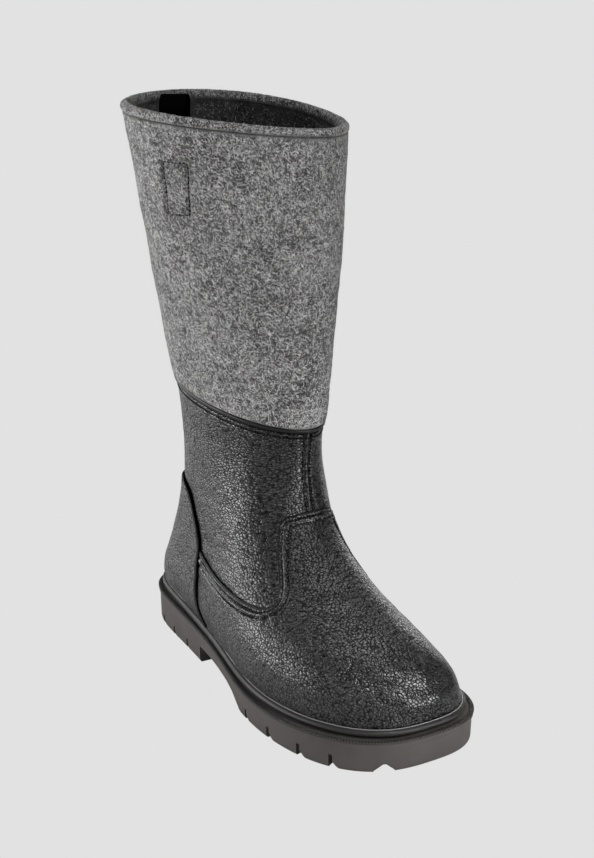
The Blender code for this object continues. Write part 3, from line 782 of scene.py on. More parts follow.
# Rows of stitches inside the vamp's edge: how far inside, how deep they pull the leather in
HEM_ROWS = [(1.9, 0.70), (5.9, 0.85)]
HEM_HALF = 0.9
# Ridge between these rows: how far inside, height, half width
HEM_RIDGE = (3.9, 0.55, 1.2)
# Relief beside a line: height, distance of its middle from the line, half width
SEAM_RELIEF = [(0.7, 0.0, 1.3), (-0.6, 2.6, 0.8)]
COUNTER_HOLLOW = [(-1.2, 0.0, 2.6)]
VAMP_HOLLOW = [(-0.7, 0.0, 2.2)]
COUNTER_HEM = [(-0.35, 2.2, 0.7)]
BOX_RELIEF = [(-1.5, 0.0, 1.1), (0.45, 2.6, 1.2)]
# Radius of the turned edges
VAMP_ROUND = 1.1
COUNTER_ROUND = 1.3

# Columns and rows of the quarters' grid, closer together at the front seam and below the felt
QUARTER_F = np.concatenate([np.arange(-0.018, 0.0245, 0.0013), np.linspace(0.0265, 0.979, 268)])
QUARTER_V = np.concatenate([np.linspace(-0.03, 0.12, 16), np.linspace(0.125, 0.482, 84),
                            np.linspace(0.484, LEATHER_TOP, 21)])
# Columns of one half of the vamp's grid, and the distances of the rows in its hem from its edge
VAMP_COLUMNS = np.concatenate([np.linspace(0.0, 0.052, 24)[:-1], np.linspace(0.052, 0.135, 52)[:-1],
                               np.linspace(0.135, VAMP_END, 70)])
HEM_STEPS = [9.0, 8.2, 7.5, 6.9, 6.5, 6.2, 5.9, 5.6, 5.3, 4.9, 4.4, 3.9, 3.4, 2.9, 2.5, 2.2, 1.9, 1.6, 1.3,
             1.0, 0.7, 0.45, 0.25, 0.1, 0.0]

# Lumps: height, wave length, seed
QUARTER_LUMPS = [(0.24, 26.0, 11), (0.12, 9.0, 12)]
VAMP_LUMPS = [(0.25, 30.0, 21), (0.13, 10.0, 22)]
COUNTER_LUMPS = [(0.2, 24.0, 31), (0.08, 9.0, 32)]
FELT_LUMPS = [(0.35, 40.0, 41), (0.20, 12.0, 42), (0.10, 4.5, 43)]
LINING_LUMPS = [(0.25, 14.0, 44)]
BINDING_LUMPS = [(0.25, 11.0, 51), (0.12, 4.0, 52)]

# Folds: how far they stand out, half width, places f, v
VAMP_FOLDS = [
    # Toe box: a hollow across the cap, a swell behind it, one before it, hollows on the inner and outer side
    (-1.3, 5.0, [[0.0542, 0.0782], [0.0375, 0.0661], [0.0208, 0.0541], [-0.0021, 0.0481], [-0.0292, 0.0461]]),
    (1.1, 6.5, [[0.0300, 0.0740], [0.0125, 0.0690], [-0.0060, 0.0650]]),
    (1.4, 6.0, [[0.0167, 0.0290], [0.0021, 0.0285], [-0.0125, 0.0280]]),
    (-1.3, 6.0, [[-0.0190, 0.0630], [-0.0270, 0.0560], [-0.0330, 0.0480]]),
    (-0.7, 6.0, [[0.0420, 0.0480], [0.0360, 0.0370], [0.0280, 0.0250]]),
    # Flex folds across the vamp over the ball
    (-0.55, 3.0, [[0.075, 0.170], [0.050, 0.178], [0.020, 0.176], [-0.010, 0.168]]),
    (-0.45, 2.6, [[0.062, 0.205], [0.040, 0.212], [0.012, 0.208], [-0.015, 0.200]]),
    (-0.40, 2.6, [[0.048, 0.245], [0.028, 0.252], [0.005, 0.248]]),
    (-0.35, 3.2, [[0.105, 0.120], [0.080, 0.132], [0.050, 0.136]]),
]
SHAFT_FOLDS = [
    (-0.45, 3.5, [[0.260, 0.225], [0.200, 0.235], [0.150, 0.232], [0.110, 0.245]]),
    (-0.40, 3.0, [[0.240, 0.262], [0.190, 0.270], [0.140, 0.268]]),
    (-0.35, 3.0, [[0.300, 0.205], [0.240, 0.195], [0.180, 0.190], [0.130, 0.205]]),
    (-0.35, 4.0, [[0.310, 0.320], [0.250, 0.330], [0.180, 0.325]]),
]
FOLD_STEP = 1.0


def add_folds(high, points, folds):
    """A height with soft folds added, each strongest on its line and fading beside it."""
    for height, half_width, places in folds:
        line = on_surface(*line_points(places, FOLD_STEP))
        high = high + height * trough(distance_to(points, line), half_width)
    return high


def vamp_line(drop):
    """A line along the vamp's upper edge, a drop in millimetres inside it, and its normals."""
    edge, normal = on_surface(VAMP_F, vamp_edge(VAMP_F), 0.0, True)
    inside = np.cross(normal, unit(np.gradient(edge, axis=0)))
    if inside[len(VAMP_F) // 2, 2] > 0.0:
        inside = -inside
    return edge + inside * drop, normal


def counter_places():
    """Places f and v along the counter's edge: up the outer side, over the back and down the inner side."""
    v = np.linspace(0.001, COUNTER_TOP, 160)
    level = np.linspace(0.47, 0.53, 8)
    edge = counter_edge(v)
    f = np.concatenate([edge, level, 1.0 - edge[::-1]])
    return f, np.concatenate([v, np.full(len(level), COUNTER_TOP), v[::-1]])


VAMP_TOP_LINE = vamp_line(0.0)[0]
COUNTER_PLACES = counter_places()
COUNTER_LINE = on_surface(*COUNTER_PLACES)


def quarter_relief(points, v):
    """Troughs and swells of the quarters and the lower shaft."""
    high = add_folds(lumps(points, QUARTER_LUMPS), points, SHAFT_FOLDS)
    high += relief(distance_to(points, on_surface(*line_points(FRONT_SEAM))), SEAM_RELIEF)
    high += relief(distance_to(points, COUNTER_LINE), COUNTER_HOLLOW)
    high += relief(distance_to(points, VAMP_TOP_LINE), VAMP_HOLLOW)
    for drop in JOINT_ROWS:
        high -= JOINT_DEPTH * trough(v - (LEATHER_TOP - drop), JOINT_HALF)
    return high * np.clip(v / QUARTER_RISE, 0.0, 1.0)


def make_quarters():
    """Quarters and lower shaft, one wall from the sole to the felt."""
    f, v = np.broadcast_arrays(QUARTER_F[None, :], QUARTER_V[:, None])
    outer = on_surface(f, v, QUARTER_OUT + quarter_relief(on_surface(f, v), v))
    inner = on_surface(f, v, QUARTER_IN)
    piece = new_object("quarter_leather", *shell(outer, inner, True), QUARTER_LEATHER, "black_leather")
    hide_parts("leather_upper")


def overlay(name, f, v, high, material):
    """A leather panel that lies on the quarters, its outer face at a height."""
    outer = on_surface(f, v, np.maximum(high, UNDERSIDE + LEAST_THICK))
    inner = on_surface(f, v, UNDERSIDE)
    return new_object(name, *shell(outer, inner, False), material, "black_leather")


def make_vamp():
    """Vamp with its tongue, folded along its upper edge."""
    f = np.concatenate([-VAMP_COLUMNS[:0:-1], VAMP_COLUMNS])[None, :]
    top = vamp_edge(f)
    scale = np.linalg.norm(on_surface(f, top) - on_surface(f, top - V_PROBE), axis=-1) / V_PROBE
    hem = np.array(HEM_STEPS)[:, None] / scale
    share = np.linspace(0.0, 1.0, 84)[:, None] ** VAMP_CROWDING
    v = np.concatenate([LOW_EDGE + share * (top - hem[0] - LOW_EDGE), top - hem[1:]])
    pull = np.clip((np.abs(f) - VAMP_BEND) / (VAMP_END - VAMP_BEND), 0.0, 1.0)
    f = np.sign(f) * (np.abs(f) + pull * (counter_edge(v) - VAMP_GAP - VAMP_END))
    flat = on_surface(f, v)
    fall = round_edge(distance_to(flat, VAMP_TOP_LINE), VAMP_ROUND)
    high = add_folds(lumps(flat, VAMP_LUMPS), flat, VAMP_FOLDS)
    for drop, depth in HEM_ROWS:
        high -= depth * trough(distance_to(flat, vamp_line(drop)[0]), HEM_HALF)
    drop, height, half_width = HEM_RIDGE
    high += height * trough(distance_to(flat, vamp_line(drop)[0]), half_width)
    piece = overlay("vamp_leather", f, v, VAMP_OUT - fall + high, VAMP_LEATHER)
    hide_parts("vamp")


def make_counter():
    """Heel counter, its edge turned and sewn down."""
    v = np.concatenate([np.linspace(LOW_EDGE, 0.292, 78), np.linspace(0.294, COUNTER_TOP, 12)])[:, None]
    edge = counter_edge(v)
    t = np.linspace(0.0, 1.0, 121)
    share = t + COUNTER_CROWDING / (2.0 * np.pi) * np.sin(2.0 * np.pi * t)
    share = np.clip(share, 0.0, 1.0)[None, :]
    f = edge + (1.0 - 2.0 * edge) * share
    v = np.broadcast_to(v, f.shape)
    flat = on_surface(f, v)
    from_edge = distance_to(flat, COUNTER_LINE)
    high = lumps(flat, COUNTER_LUMPS) + relief(from_edge, COUNTER_HEM)
    high = COUNTER_OUT - round_edge(from_edge, COUNTER_ROUND) + high
    piece = overlay("counter_leather", f, v, high, COUNTER_LEATHER)
    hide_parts("heel_counter")


EDGE_SIDES = 10
EDGE_FLAT = 0.55
# Dark edge cords, partly the black cut edges and partly painted shade beside them: v and half width, then v
# and offset, of the counter's; f and half width of the vamp's
COUNTER_SHADE_CORD = ([0.0, 0.05, 0.10, 0.20, 0.27, 0.309], [1.7, 1.9, 2.0, 2.0, 1.4, 0.7])
COUNTER_SHADE_CORD_OUT = ([0.0, 0.12, 0.16, 0.309], [1.5, 1.5, 0.35, 0.35])
VAMP_SHADE_CORD = ([0.0, 0.06, 0.13, 0.20, 0.33], [0.7, 0.7, 0.9, 1.1, 1.4])
VAMP_SHADE_CORD_OUT = -0.3
VAMP_SHADE_CORD_RISE = 0.001


def make_edge(name, f, v, offset, size):
    """Dark flattened cord along places f, v: partly the leather's black cut edge, partly painted shade in the
    step beside it.
    """
    line, normal = on_surface(f, v, offset, True)
    side = np.cross(normal, unit(np.gradient(line, axis=0)))
    size = size[:, None]
    loops = []
    for turn in np.arange(EDGE_SIDES) * 2.0 * np.pi / EDGE_SIDES:
        loops.append(line + side * (size * np.cos(turn)) + normal * (EDGE_FLAT * size * np.sin(turn)))
    rows = np.array(loops).transpose(1, 0, 2)
    count = len(line) * EDGE_SIDES
    faces = grid_faces(len(line), EDGE_SIDES, True)
    faces += [tuple(range(EDGE_SIDES)), tuple(range(count - EDGE_SIDES, count))]
    new_object(name, rows.reshape(-1, 3), faces, CUT_EDGE_AND_SHADE, "black_leather")


def make_edges():
    """Dark cords along the edges of the counter and of the vamp, thin at the top and broad low down: partly
    black cut edges, partly painted shade beside them.
    """
    f, v = [values[::2] for values in COUNTER_PLACES]
    make_edge("counter_edge", f, v, np.interp(v, *COUNTER_SHADE_CORD_OUT), np.interp(v, *COUNTER_SHADE_CORD))
    f = np.linspace(-0.326, 0.326, 420)
    v = vamp_edge(f) + VAMP_SHADE_CORD_RISE
    make_edge("vamp_edge", f, v, VAMP_SHADE_CORD_OUT, np.interp(np.abs(f), *VAMP_SHADE_CORD))


BAND_PROFILE = [
    # offset, v
    (-0.6, 0.5010), (0.15, 0.5013), (0.50, 0.5030), (0.55, 0.5050), (0.40, 0.5070), (0.10, 0.5084),
    (-0.6, 0.5086),
]


def make_band():
    """Folded top edge of the leather, against the felt."""
    f = even_columns(BAND_COLUMNS)
    rows = [on_surface(f, v, offset) for offset, v in BAND_PROFILE]
    piece = new_object("band_leather", *ring(rows), BAND_LEATHER, "black_leather")
    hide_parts("top_band")


# Felt pieces

# Stitched rectangle: its corners f, v
BOX_CORNERS = [[0.2240, 0.9250], [0.1812, 0.9300], [0.1905, 0.8460], [0.2320, 0.8390], [0.2240, 0.9250]]
BOX_LINE = line_points(BOX_CORNERS)
FELT_BULGE = np.array([
    # v, how far the felt stands out
    [0.5085, -0.6], [0.5100, 0.2], [0.5140, 0.8], [0.5200, 1.1], [0.5300, 1.1], [0.5600, 0.7], [0.6250, 0.25],
    [0.7200, 0.0], [0.9860, 0.0],
])
# Rows of the leg's outer face and of its lining
FELT_V = np.concatenate([[0.5085, 0.5092, 0.5100, 0.5115, 0.5135, 0.5160], np.linspace(0.519, 0.9860, 150)])
LINING_V = np.linspace(0.975, 0.53, 60)
# v where the felt's relief starts, and the reach over which it grows
FELT_FROM = 0.509
FELT_GROWTH = 0.01
# Rim and foot of the leg: offset, v
FELT_RIM = [(-1.5, 0.9867), (-2.5, 0.9872), (-2.5, 0.9930), (-4.6, 0.9930), (-4.6, 0.984)]
FELT_FOOT = [(-5.0, 0.522), (-7.0, 0.5065), (-7.0, 0.480), (-3.6, 0.480), (-3.6, 0.5062), (-1.6, 0.5082)]
# How many rows of the rim still belong to the outside
RIM_OUTSIDE = 3
LINING_OUT = -4.5
# Where the fibres of the lining lie
LINING_FIBRES_OUT = -4.85


def felt_relief(points, v):
    """Height of the felt: its bulge over the leather, its lumps and the pulled-in stitched rectangle."""
    high = lumps(points, FELT_LUMPS)
    high += relief(distance_to(points, on_surface(*BOX_LINE)), BOX_RELIEF)
    base = np.interp(v, FELT_BULGE[:, 0], FELT_BULGE[:, 1])
    return base + high * np.clip((v - FELT_FROM) / FELT_GROWTH, 0.0, 1.0)


def leg_face(f, v):
    """Outer face of the felt leg."""
    return on_surface(f, v, felt_relief(on_surface(f, v), v))


def make_felt():
    """Felt leg, a thick tube from the leather to the collar."""
    f = even_columns(FELT_COLUMNS)
    rows = [leg_face(f, v) for v in FELT_V]
    outside = len(rows) + RIM_OUTSIDE
    rows += [on_surface(f, v, offset) for offset, v in FELT_RIM]
    for v in LINING_V:
        rows.append(on_surface(f, v, LINING_OUT + lumps(on_surface(f, v), LINING_LUMPS)))
    rows += [on_surface(f, v, offset) for offset, v in FELT_FOOT]
    piece = new_object("felt_leg", *ring(rows), FELT, "grey_felt")
    # The inner faces of the leg take the darker copy of the felt, painted shade.
    dress_inside(piece, len(f), outside, LINING_SHADE_FELT)
    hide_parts("felt_shaft")


BINDING_PROFILE = [
    # offset, v: outer face, top, inner face, then the slot for the rim of the leg
    (-0.5, 0.9884), (0.25, 0.9890), (0.60, 0.9915), (0.70, 0.9945), (0.50, 0.9975), (-0.15, 0.9998),
    (-1.4, 1.0015), (-2.9, 1.0021), (-4.4, 1.0015), (-5.6, 0.9998), (-6.3, 0.9970), (-6.5, 0.9935),
    (-6.4, 0.9895), (-6.1, 0.9862), (-5.6, 0.9848), (-5.1, 0.9852), (-4.95, 0.9870), (-4.95, 0.9943),
    (-2.2, 0.9943), (-2.2, 0.9884),
]
# Rows of the profile: the first that faces inward, and the first that is plain
BINDING_INSIDE = 8
BINDING_PLAIN = 15


def binding_relief(f, v):
    """Lumps of the rolled binding."""
    return lumps(on_surface(f, np.minimum(v, 1.0)), BINDING_LUMPS)


def make_binding():
    """Rolled felt binding over the rim."""
    f = even_columns(BINDING_COLUMNS)
    rows = []
    for k, (offset, v) in enumerate(BINDING_PROFILE):
        high = binding_relief(f, v) if k < BINDING_PLAIN else 0.0
        rows.append(on_surface(f, v, offset + high))
    piece = new_object("felt_binding", *ring(rows), BINDING_FELT, "grey_felt")
    # The inward faces of the binding take the darker felt copy, painted shade.
    dress_inside(piece, len(f), BINDING_INSIDE, RIM_SHADE_FELT)
    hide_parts("collar_binding")


# Fibres: ranges of length, half width and lift of the free end, height of the other end over the felt
FIBRE_LENGTH = (1.6, 3.6)
FIBRE_WIDTH = (0.13, 0.21)
FIBRE_LIFT = (0.0, 0.10)
FIBRE_HEIGHT = 0.06
# Steps along the face and round the boot by which a fibre's directions are found
PROBE_SHARE = 0.01
PROBE_F = 0.002
# Share of light fibres, how much it varies in clouds, tones of light and of dark fibres
LIGHT_SHARE = 0.45
LIGHT_CLOUDS = 0.12
LIGHT_TONES = (0.5, 1.0)
DARK_TONES = (0.0, 0.12)


def make_fibres(name, count, seed, place, reach, material, size):
    """Loose fibres lying on a felt face: short straight ribbons, dark and light."""
    rng = np.random.default_rng(seed)
    f = rng.uniform(0.0, 1.0, size=count)
    t = rng.uniform(*reach, size=count)
    step = PROBE_SHARE * (reach[1] - reach[0])
    base = place(f, t)
    up = unit(place(f, t + step) - base)
    side = unit(place(f + PROBE_F, t) - base)
    normal = unit(np.cross(up, side))
    angle = rng.uniform(0.0, 2.0 * np.pi, size=count)
    length = size * rng.uniform(*FIBRE_LENGTH, size=count)
    width = size * rng.uniform(*FIBRE_WIDTH, size=count)
    lift = rng.uniform(*FIBRE_LIFT, size=count)
    clouds = lumps(base, [(0.6, 40.0, seed + 1), (0.6, 14.0, seed + 2)])
    light = rng.uniform(size=count) < LIGHT_SHARE + LIGHT_CLOUDS * clouds
    tone = np.where(light, rng.uniform(*LIGHT_TONES, size=count), rng.uniform(*DARK_TONES, size=count))
    way = np.cos(angle)[:, None] * up + np.sin(angle)[:, None] * side
    across = np.cross(normal, way) * width[:, None]
    verts = np.zeros((count, 2, 2, 3))
    for k, share in enumerate((-0.5, 0.5)):
        here = base + way * (share * length)[:, None] + normal * (FIBRE_HEIGHT + lift * k)[:, None]
        verts[:, k, 0] = here + across
        verts[:, k, 1] = here - across
    faces = (np.arange(count)[:, None] * 4 + np.array([0, 1, 3, 2])).tolist()
    piece = mesh_object(name, verts.reshape(-1, 3), faces, False)
    shade = piece.data.attributes.new("tone", "FLOAT", "POINT")
    shade.data.foreach_set("value", np.repeat(tone, 4).astype(np.float32))
    piece.data.materials.append(material)
    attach(piece, BODY)


def lining_face(f, v):
    """Inner face of the felt leg, v counted downward from the rim."""
    return on_surface(f, 2.0 - v, LINING_FIBRES_OUT)


def rim_face(f, t):
    """Face of the rolled binding, t along its profile from the outer side over the top to the inner side."""
    profile = np.array(BINDING_PROFILE[:14])
    steps = np.arange(len(profile))
    offset = np.interp(t, steps, profile[:, 0])
    v = np.interp(t, steps, profile[:, 1])
    return on_surface(f, v, offset + binding_relief(f, v))


# Sole, rand and insole

def ledge_row(loop, normals, out, height, base=ledge_height):
    """A loop moved outward and laid at a height over the ledge, or over another base."""
    edge = loop + normals * out
    edge[:, 2] = base(edge[:, 0]) + height
    return edge


def prism(outline, origin, along, across, depth):
    """Points of an outline in the plane of `along` and z, then the same pushed `depth` along `across`."""
    near = [origin + along * u + np.array([0.0, 0.0, w]) for u, w in outline]
    return near + [point + across * depth for point in near]


def notch_bodies():
    """Slots between the lugs on both sides, and the notch of the toe."""
    loop = closed_loop(SOLE_ROW, SLOT_HALF)
    normals = flat_normals(loop)
    half = len(loop) // 2
    verts = []
    faces = []

    def add(index, outline, depth):
        out = normals[index]
        along = np.array([-out[1], out[0], 0.0])
        if along[0] < 0.0:
            along = -along
        faces.extend(block_faces(len(outline), len(verts)))
        verts.extend(prism(outline, loop[index] + out * CUT_OVER, along, -out, depth + CUT_OVER))

    low, high = NOTCH_SLANT
    for x, top, flare in NOTCHES:
        slot = [(-NOTCH_HALF, -CUT_OVER), (NOTCH_HALF + flare, -CUT_OVER), (NOTCH_HALF + flare, low),
                (NOTCH_HALF, high), (NOTCH_HALF, top), (-NOTCH_HALF, top)]
        add(int(np.argmin(np.abs(loop[:half, 0] - x))), slot, NOTCH_DEPTH)
        add(half + int(np.argmin(np.abs(loop[half:, 0] - x))), slot, NOTCH_DEPTH)
    toe = int(np.argmin(np.abs(loop[:half, 0] - TOE_NOTCH_X)))
    add(toe, TOE_NOTCH, TOE_NOTCH_DEPTH)
    return verts, faces


SOLE_PROFILE = [
    # inset, height, whether it counts from the ledge
    (6.0, 0.0, True), (1.2, 0.0, True), (0.55, -0.12, True), (0.15, -0.45, True), (0.0, -0.9, True),
    (0.0, -3.3, True), (0.25, -3.75, True), (0.75, -4.05, True), (0.8, -5.5, True), (1.2, 2.0, False),
    (1.5, 1.0, False), (2.0, 0.35, False), (2.7, 0.0, False), (8.0, 0.0, False),
]
SOLE_SHARP = 28.0


def make_sole():
    """Rubber outsole: ledge, lip, side wall, arch, heel and lugs."""
    loop = closed_loop(SOLE_ROW, SOLE_HALF)
    normals = flat_normals(loop)
    loops = []
    for inset, height, from_ledge in SOLE_PROFILE:
        base = ledge_height if from_ledge else bottom_height
        loops.append(ledge_row(loop, normals, -inset, height, base))
    piece = new_object("sole_rubber", *stack(loops), SOLE_RUBBER, "sole_rubber")
    forward, inward = np.eye(3)[:2]
    arch = prism(ARCH, -ARCH_HALF * inward, forward, inward, 2.0 * ARCH_HALF)
    tools = [mesh_object("cut_arch", arch, block_faces(len(ARCH))), mesh_object("cut_slots", *notch_bodies())]
    for tool in tools:
        cut = piece.modifiers.new(tool.name, "BOOLEAN")
        cut.operation = "DIFFERENCE"
        cut.solver = "EXACT"
        cut.object = tool
    bpy.context.view_layer.update()
    graph = bpy.context.evaluated_depsgraph_get()
    cut_mesh = bpy.data.meshes.new_from_object(piece.evaluated_get(graph))
    piece.modifiers.clear()
    piece.data = cut_mesh
    for tool in tools:
        bpy.data.objects.remove(tool, do_unlink=True)
    smooth(cut_mesh, SOLE_SHARP)
    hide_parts("outsole")


RAND_HEIGHT = np.array([
    # f, how much taller the bead is than at the toe
    [0.00, 1.00], [0.12, 1.05], [0.22, 1.30], [0.30, 1.40], [0.38, 1.30], [0.50, 1.20], [0.62, 1.30],
    [0.70, 1.40], [0.78, 1.30], [0.88, 1.05], [1.00, 1.00],
])
# Bead, and the ridge on its upper edge that is coloured pale as a painted highlight: offset, height over the
# ledge
BEAD_PROFILE = [(-0.3, 0.3), (1.1, 0.3), (1.1, 1.6), (2.3, 1.65), (3.1, 1.9), (3.6, 2.5), (3.8, 3.2),
                (3.6, 4.0), (3.0, 4.65), (2.2, 5.0), (1.4, 5.1), (0.9, 5.05), (-0.3, 4.9)]
TRIM_PROFILE = [(0.95, 4.95), (1.45, 5.0), (1.7, 5.25), (1.55, 5.5), (1.15, 5.6), (0.9, 5.4)]


def make_rand():
    """Bead round the upper, and a ridge on its upper edge coloured pale as a painted highlight."""
    f = even_columns(RAND_COLUMNS)
    loop = on_surface(f, 0.0)
    normals = flat_normals(loop)
    taller = np.interp(f, RAND_HEIGHT[:, 0], RAND_HEIGHT[:, 1])

    def ring_at(profile):
        return ring([ledge_row(loop, normals, out, height * taller) for out, height in profile])

    piece = new_object("rand_bead", *ring_at(BEAD_PROFILE), RAND_RUBBER, "rand_rubber")
    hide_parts("rand")
    # The pale ridge is a painted highlight.
    new_object("rand_trim_highlight", *ring_at(TRIM_PROFILE), PALE_TRIM_RUBBER, "rand_rubber")


LIP_PROFILE = [
    # inset, height over the ledge
    (0.45, -1.70), (0.02, -1.45), (0.05, -0.60), (0.60, -0.05), (1.20, 0.05), (2.60, 0.05), (3.10, -0.10),
    (3.10, -0.40), (1.50, -0.80),
]
RIB_PROFILE = [
    # inset, height over the ledge
    (-0.40, -1.20), (-0.45, -0.55), (0.05, 0.25), (1.10, 0.55), (2.40, 0.50), (2.50, -0.05), (0.80, -0.25),
    (0.25, -1.20),
]
# Steps of the sole's outline from rib to rib, and those a rib covers
RIB_STEPS = 6
RIB_WIDTH = 3


def make_knurl():
    """Lip along the outer corner of the ledge, near black as painted shade in the recess and between the
    ribs, and the fine ribs over it.
    """
    loop = closed_loop(SOLE_ROW, RIB_HALF)
    normals = flat_normals(loop)
    lip = np.arange(0, len(loop), RIB_STEPS)

    def rows_at(places, profile):
        line = loop[places]
        out = normals[places]
        return np.array([ledge_row(line, out, -inset, height) for inset, height in profile])

    new_object("ledge_lip", *ring(rows_at(lip, LIP_PROFILE)), LIP_SHADE_RUBBER, "sole_rubber")
    ends = [rows_at(lip + shift, RIB_PROFILE).transpose(1, 0, 2) for shift in (0, RIB_WIDTH)]
    verts = np.concatenate(ends, axis=1).reshape(-1, 3)
    count = len(RIB_PROFILE)
    faces = []
    for base in range(0, len(verts), 2 * count):
        faces += block_faces(count, base)
    ribs = new_object("ledge_ribs", verts, faces, KNURL_RUBBER, "sole_rubber")
    ribs.data.polygons.foreach_set("use_smooth", np.zeros(len(faces), bool))


# Insole: inset, height over its clearance
INSOLE_PROFILE = [(4.4, 0.0), (3.6, 0.6), (3.4, 2.0), (3.6, 3.4), (4.6, 4.2), (8.0, 4.3)]


def make_insole():
    """Felt insole inside the foot."""
    loop = on_surface(even_columns(INSOLE_COLUMNS), 0.0)
    normals = flat_normals(loop)
    rows = [ledge_row(loop, normals, -inset, CLEAR + height) for inset, height in INSOLE_PROFILE]
    piece = new_object("footbed", *stack(rows), INSOLE_FELT, "insole_felt")
    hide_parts("insole")


def make_loop():
    """Webbing pull loop inside the outer side of the collar."""
    here = on_surface(LOOP_F, LOOP_V)
    side = on_surface(LOOP_F + 0.01, LOOP_V) - on_surface(LOOP_F - 0.01, LOOP_V)
    side[2] = 0.0
    side = unit(side)
    inward = np.array([side[1], -side[0], 0.0])
    if np.dot(inward[:2], np.array([MOUTH_X, 0.0]) - here[:2]) < 0.0:
        inward = -inward
    rough = []
    for offset, v, rise in LOOP_PATH:
        rough.append(on_surface(LOOP_F, v) - inward * offset + np.array([0.0, 0.0, rise]))
    length = travel(rough)
    centre = spline(length, rough, np.linspace(0.0, length[-1], 150))
    way = np.gradient(centre, axis=0)
    way = unit(way - np.outer(way @ side, side))
    thick = np.cross(way, side) * 0.5 * LOOP_THICK
    half = 0.5 * LOOP_WIDTH
    outline = []
    for u in np.linspace(-1.0, 1.0, 41):
        ridge = 1.0 + WEB_RIDGE * math.cos(u * WEB_WAVES * math.pi)
        outline.append((u, ridge * min(1.0, (1.0 - abs(u)) * WEB_GROWTH + WEB_BORDER)))
    outline += [(u, -t) for u, t in outline[::-1]]
    rows = np.array([centre + side * (u * half) + thick * t for u, t in outline]).transpose(1, 0, 2)
    count, columns = rows.shape[:2]
    faces = grid_faces(count, columns, True)
    for start in (0, (count - 1) * columns):
        for k in range(columns // 2 - 1):
            faces.append((start + k, start + k + 1, start + columns - 2 - k, start + columns - 1 - k))
    piece = new_object("webbing_loop", rows.reshape(-1, 3), faces, WEBBING, "webbing", 40.0)
    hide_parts("pull_loop")


# Stitches

STITCH_SIDES = 6
STITCH_SINK = 1.2
STITCH_SHAPE = [
    # place along the stitch, share of its radius
    (-0.5, 0.0), (-0.46, 0.6), (-0.3, 0.95), (0.0, 1.05), (0.3, 0.95), (0.46, 0.6), (0.5, 0.0),
]
# Pitch, share of it that a stitch covers, radius of the thread
LEATHER_STITCH = (2.2, 0.75, 0.40)
FELT_STITCH = (2.8, 0.8, 0.42)
# Heights of the threads: over the pulled-in hem, over the quarter, in the felt
HEM_THREAD = 0.15
QUARTER_THREAD = QUARTER_OUT + 0.05
FELT_THREAD = -1.0
# How far the stitches of the front seam lie beside it, in f
SEAM_SIDE = 0.0095


def make_stitches(name, lines, stitch, slot):
    """Rows of stitches: short rounded threads laid along lines of points, each with its normals."""
    pitch, fill, radius = stitch
    verts = []
    faces = []
    turns = np.arange(STITCH_SIDES) * 2.0 * np.pi / STITCH_SIDES
    for points, normals in lines:
        length = travel(points)
        count = int(length[-1] // pitch)
        for k in range(count):
            middle = (k + 0.5) * length[-1] / count
            reach = 0.5 * fill * pitch
            first, last = [points_at(points, length, middle + shift) for shift in (-reach, reach)]
            out = unit(points_at(normals, length, middle))
            along = last - first
            centre = 0.5 * (first + last)
            across = np.cross(out, unit(along))
            base = len(verts)
            for place, size in STITCH_SHAPE:
                sink = -STITCH_SINK * radius * (2.0 * place) ** 4
                for turn in turns:
                    verts.append(centre + along * place + out * (sink + radius * size * np.sin(turn))
                                 + across * (radius * size * np.cos(turn)))
            for row in range(base, len(verts) - STITCH_SIDES, STITCH_SIDES):
                for s in range(STITCH_SIDES):
                    a = row + s
                    b = row + (s + 1) % STITCH_SIDES
                    faces.append((a, b, b + STITCH_SIDES, a + STITCH_SIDES))
    new_object(name, verts, faces, BLACK_THREAD, slot)


def sew():
    """All rows of stitching."""
    rows = []
    for drop, depth in HEM_ROWS:
        line, normal = vamp_line(drop)
        rows.append((line + normal * (VAMP_OUT - depth + HEM_THREAD), normal))
    make_stitches("vamp_stitches", rows, LEATHER_STITCH, "black_leather")
    f = np.linspace(0.0, 1.0, 900)
    rows = [on_surface(f, LEATHER_TOP - drop, QUARTER_THREAD, True) for drop in JOINT_ROWS]
    make_stitches("joint_stitches", rows, LEATHER_STITCH, "black_leather")
    f, v = line_points(FRONT_SEAM)
    rows = [on_surface(f + side, v, QUARTER_THREAD, True) for side in (-SEAM_SIDE, SEAM_SIDE)]
    make_stitches("front_stitches", rows, LEATHER_STITCH, "black_leather")
    make_stitches("box_stitches", [on_surface(*BOX_LINE, FELT_THREAD, True)], FELT_STITCH, "grey_felt")


FIBRE_SETS = [
    # name, count, seed, face, reach over the face, material, size
    ("leg_fibres", 96000, 61, leg_face, (0.513, 0.983), FIBRES, 0.84),
    ("rim_fibres", 9000, 62, rim_face, (2.0, 7.5), FIBRES, 0.8),
    # The inner rim's and the lining's fibres use darker copies, painted shade.
    ("inner_rim_fibres", 7000, 63, rim_face, (7.5, 12.0), RIM_SHADE_FIBRES, 0.75),
    ("lining_fibres", 30000, 64, lining_face, (1.02, 1.40), LINING_SHADE_FIBRES, 0.6),
]

make_sole()
make_rand()
make_knurl()
make_insole()
make_quarters()
make_vamp()
make_counter()
make_edges()
make_band()
make_felt()
make_binding()
make_loop()
for fibre_set in FIBRE_SETS:
    make_fibres(*fibre_set)
sew()


# Floor, light and camera

